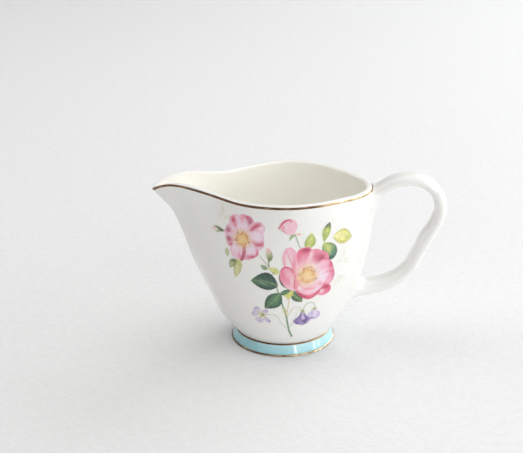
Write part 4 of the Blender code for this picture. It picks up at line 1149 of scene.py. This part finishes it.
def side_places(middle_angle, along, up):
    """Angle and level for places on a side of the body: rows in `up`, columns in `along`."""
    levels = np.linspace(0.0, 1.0, 1201)
    middle = outer_point(np.full(levels.shape, middle_angle), rim_radius_at(middle_angle), levels)
    climbed = np.concatenate([[0.0], np.cumsum(np.linalg.norm(np.diff(middle, axis=0), axis=1))])
    level = np.interp(up, climbed, levels)
    sweep = np.linspace(-SIDE_REACH, SIDE_REACH, 601)
    angle = middle_angle + sweep
    angles = np.empty((len(up), len(along)))
    for row, at in enumerate(level):
        ring = outer_point(angle, rim_radius_at(angle), at)
        girth = np.concatenate([[0.0], np.cumsum(np.linalg.norm(np.diff(ring, axis=0), axis=1))])
        angles[row] = np.interp(along, girth - np.interp(0.0, sweep, girth), angle)
    return angles, np.broadcast_to(level[:, None], angles.shape)


def widened(cells):
    """Grows a mask by one cell each way, so that the ink fades out inside the film."""
    grown = cells.copy()
    grown[1:] |= cells[:-1]
    grown[:-1] |= cells[1:]
    grown[:, 1:] |= grown[:, :-1].copy()
    grown[:, :-1] |= grown[:, 1:].copy()
    return grown


def build_print(name, middle_angle, material, node):
    """A thin film where there is ink, carrying the painted spray in its Ink and Cover colours."""
    along = np.arange(*PRINT_ALONG, PRINT_CELL)
    up = np.arange(*PRINT_UP, PRINT_CELL)
    sheet = Sheet(*(v.ravel() for v in np.meshgrid(along, up)))
    paint_spray(sheet)
    angle, level = side_places(middle_angle, along, up)
    radius = rim_radius_at(angle)
    skin = outer_point(angle, radius, level)
    away = np.cross(np.gradient(skin, axis=1), np.gradient(skin, axis=0))
    away /= np.maximum(np.linalg.norm(away, axis=2), 1e-9)[..., None]
    if np.sum(away * (skin - AXIS) * [1, 1, 0]) < 0:
        away = -away
    inked = (sheet.cover > LEAST_INK).reshape(angle.shape)
    cells = widened(inked[:-1, :-1] | inked[1:, :-1] | inked[:-1, 1:] | inked[1:, 1:])
    rows, columns = np.nonzero(cells)
    index = np.arange(angle.size).reshape(angle.shape)
    quads = np.stack([index[rows, columns], index[rows, columns + 1],
                      index[rows + 1, columns + 1], index[rows + 1, columns]], 1)
    used, quads = np.unique(quads, return_inverse=True)
    quads = quads.reshape(-1, 4)
    count = len(used)
    top = (skin + away * PRINT_LIFT).reshape(-1, 3)[used]
    under = (skin - away * PRINT_DEPTH).reshape(-1, 3)[used]
    edges = np.concatenate([quads[:, [k, (k + 1) % 4]] for k in range(4)])
    low, high = edges.min(1), edges.max(1)
    _, first, seen = np.unique(low * count + high, return_index=True, return_counts=True)
    border = edges[first[seen == 1]]
    walls = np.stack([border[:, 1], border[:, 0], border[:, 0] + count, border[:, 1] + count], 1)
    faces = np.concatenate([quads, quads[:, ::-1] + count, walls]).tolist()
    thing = make_mesh(name, np.concatenate([top, under]), faces, material, [node])
    ink = np.column_stack([sheet.ink, sheet.cover])[used].astype(np.float32)
    add_colours(thing, "Ink", np.tile(np.column_stack([ink[:, :3], np.ones(count, np.float32)]), (2, 1)))
    cover = np.repeat(ink[:, 3:], 3, 1)
    add_colours(thing, "Cover", np.tile(np.column_stack([cover, np.ones(count, np.float32)]), (2, 1)))
    return thing


def add_colours(thing, name, colours):
    layer = thing.data.color_attributes.new(name, "FLOAT_COLOR", "POINT")
    layer.data.foreach_set("color", np.ascontiguousarray(colours, np.float32).ravel())


def make_print(name):
    """The ink in the glaze: painted colour over the porcelain, with the fine dots of a transfer print."""
    material, tree, shader = new_material(name)
    ink = add(tree, "ShaderNodeAttribute", attribute_name="Ink")
    cover = add(tree, "ShaderNodeAttribute", attribute_name="Cover")
    dots = ramp(tree, noise_node(tree, 2600.0, 1.0), [(0.35, (0.93, 0.93, 0.93)), (0.65, (1.0, 1.0, 1.0))])
    rich = add(tree, "ShaderNodeGamma", Gamma=INK_RICHNESS)
    tree.links.new(ink.outputs["Color"], rich.inputs["Color"])
    colour = mix_colours(tree, 1.0, rich.outputs["Color"], dots, "MULTIPLY")
    tree.links.new(mix_colours(tree, cover.outputs["Fac"], glaze_colour(tree), colour),
        shader.inputs["Base Color"])
    glaze_gloss(tree, shader)
    return material


# ------------------------------------------------------------------ camera, floor and light
CAMERA_LENS = 100.0
CAMERA_ELEVATION = math.radians(22.14)
CAMERA_DISTANCE = 0.7225
AIM_OFFSET = Vector((-0.01874, 0.0, 0.01549))


def build_camera():
    middle = (cad_box[0] + cad_box[1]) / 2
    data = bpy.data.cameras.new("camera")
    data.lens = CAMERA_LENS
    data.sensor_width = 36.0
    data.clip_start, data.clip_end = 0.02, 20.0
    camera = bpy.data.objects.new("camera", data)
    back = Vector((0.0, -math.cos(CAMERA_ELEVATION), math.sin(CAMERA_ELEVATION)))
    camera.location = middle + AIM_OFFSET + back * CAMERA_DISTANCE
    camera.rotation_euler = (-back).to_track_quat("-Z", "Y").to_euler()
    bpy.context.scene.collection.objects.link(camera)
    bpy.context.scene.camera = camera


def area_light(name, place_at, aim, size, watts, colour):
    data = bpy.data.lights.new(name, "AREA")
    data.shape = "RECTANGLE"
    data.size, data.size_y = size
    data.energy = watts
    data.color = colour
    lamp = bpy.data.objects.new(name, data)
    lamp.visible_camera = False
    lamp.location = place_at
    lamp.rotation_euler = (Vector(aim) - Vector(place_at)).to_track_quat("-Z", "Y").to_euler()
    bpy.context.scene.collection.objects.link(lamp)
    return lamp


def build_stage():
    """Pale floor that sweeps up behind the jug into a plain backdrop."""
    half_width, front, back, radius, height = 3.0, -2.0, 1.6, 0.8, 2.2
    profile = [(front, 0.0), (-0.5, 0.0), (0.0, 0.0), (0.5, 0.0), (back - radius, 0.0)]
    profile += [(back - radius + radius * math.sin(a), radius - radius * math.cos(a))
                for a in np.radians(np.linspace(5, 90, 18))]
    profile += [(back, height)]
    columns = np.linspace(-half_width, half_width, 9)
    points = [(x, y, z) for y, z in profile for x in columns]
    n = len(columns)
    faces = [(i * n + j, i * n + j + 1, (i + 1) * n + j + 1, (i + 1) * n + j)
             for i in range(len(profile) - 1) for j in range(n - 1)]
    mesh = bpy.data.meshes.new("floor")
    mesh.from_pydata(points, [], faces)
    mesh.shade_smooth()
    floor = bpy.data.objects.new("floor", mesh)
    bpy.context.scene.collection.objects.link(floor)
    material, tree, shader = new_material("pale_cloth")
    colour = ramp(tree, noise_node(tree, 260.0, 3.0, 0.6), [(0.3, (0.775, 0.775, 0.775)),
        (0.7, (0.805, 0.805, 0.805))])
    tree.links.new(colour, shader.inputs["Base Color"])
    shader.inputs["Roughness"].default_value = 0.9
    bump(tree, shader, noise_node(tree, 520.0, 3.0, 0.6), 0.0004, 0.4)
    mesh.materials.append(material)


ROOM_COLOUR, ROOM_STRENGTH = (1.0, 0.99, 0.97, 1.0), 0.08
# name, place, size, watts, colour
LAMPS = [
    ("window_right", (1.2, 0.05, 0.65), (1.0, 1.0), 5.6, (0.965, 0.98, 1.0)),
    ("window_right_front", (0.85, -0.85, 0.6), (0.9, 0.9), 4.2, (0.965, 0.98, 1.0)),
    ("window_right_back", (0.85, 0.85, 0.7), (1.0, 0.9), 8.6, (0.965, 0.98, 1.0)),
    ("window_gap_near", (0.50, -0.98, 0.15), (0.09, 0.3), 1.0, (1.0, 1.0, 1.0)),
    ("window_gap_middle", (1.05, -0.32, 0.15), (0.12, 0.3), 1.0, (1.0, 1.0, 1.0)),
    ("window_gap_far", (1.10, -0.06, 0.15), (0.08, 0.3), 0.7, (1.0, 1.0, 1.0)),
    ("ceiling", (0.1, 0.1, 1.3), (1.2, 1.2), 6.0, (1.0, 0.995, 0.985)),
    ("room_front", (-0.1, -1.6, 1.1), (1.8, 1.6), 8.3, (1.0, 0.985, 0.955)),
    ("room_left", (-1.1, 0.3, 1.15), (1.2, 1.0), 7.0, (1.0, 0.99, 0.975))]


def build_light():
    """Soft window light from the right and behind, with a dimmer warm fill from the room in front."""
    world = bpy.data.worlds.new("studio")
    bpy.context.scene.world = world
    world.use_nodes = True
    background = world.node_tree.nodes["Background"]
    background.inputs["Color"].default_value = ROOM_COLOUR
    background.inputs["Strength"].default_value = ROOM_STRENGTH
    middle = (cad_box[0] + cad_box[1]) / 2
    for name, place_at, size, watts, colour in LAMPS:
        area_light(name, place_at, middle, size, watts, colour)
    bpy.context.scene.view_settings.view_transform = "Standard"


build_camera()
build_stage()
build_light()
build_body(make_porcelain("glazed_porcelain", inside=True))
build_handle(make_porcelain("glazed_handle"))
build_foot(make_porcelain("glazed_foot"), make_bisque("bare_bisque"))
build_film("turquoise_band", BAND_SPAN, BAND_FILM, make_enamel("turquoise_enamel"),
    "foot_band")
build_film("gold_waist_line", WAIST_LINE_SPAN, WAIST_LINE_FILM, make_gold("waist_gold", 0.6, 2.0, 16.0),
           "foot_top_gilding")
build_film("gold_foot_line", FOOT_LINE_SPAN, FOOT_LINE_FILM, make_gold("foot_gold", 0.6, -45.0, 45.0),
           "foot_base_gilding")
build_rim_line(make_gold("rim_gold", 0.5, 6.0, 13.0))
build_print("rose_spray_front", -math.pi / 2, make_print("front_print_ink"),
    "front_print")
build_print("rose_spray_back", math.pi / 2, make_print("back_print_ink"), "back_print")
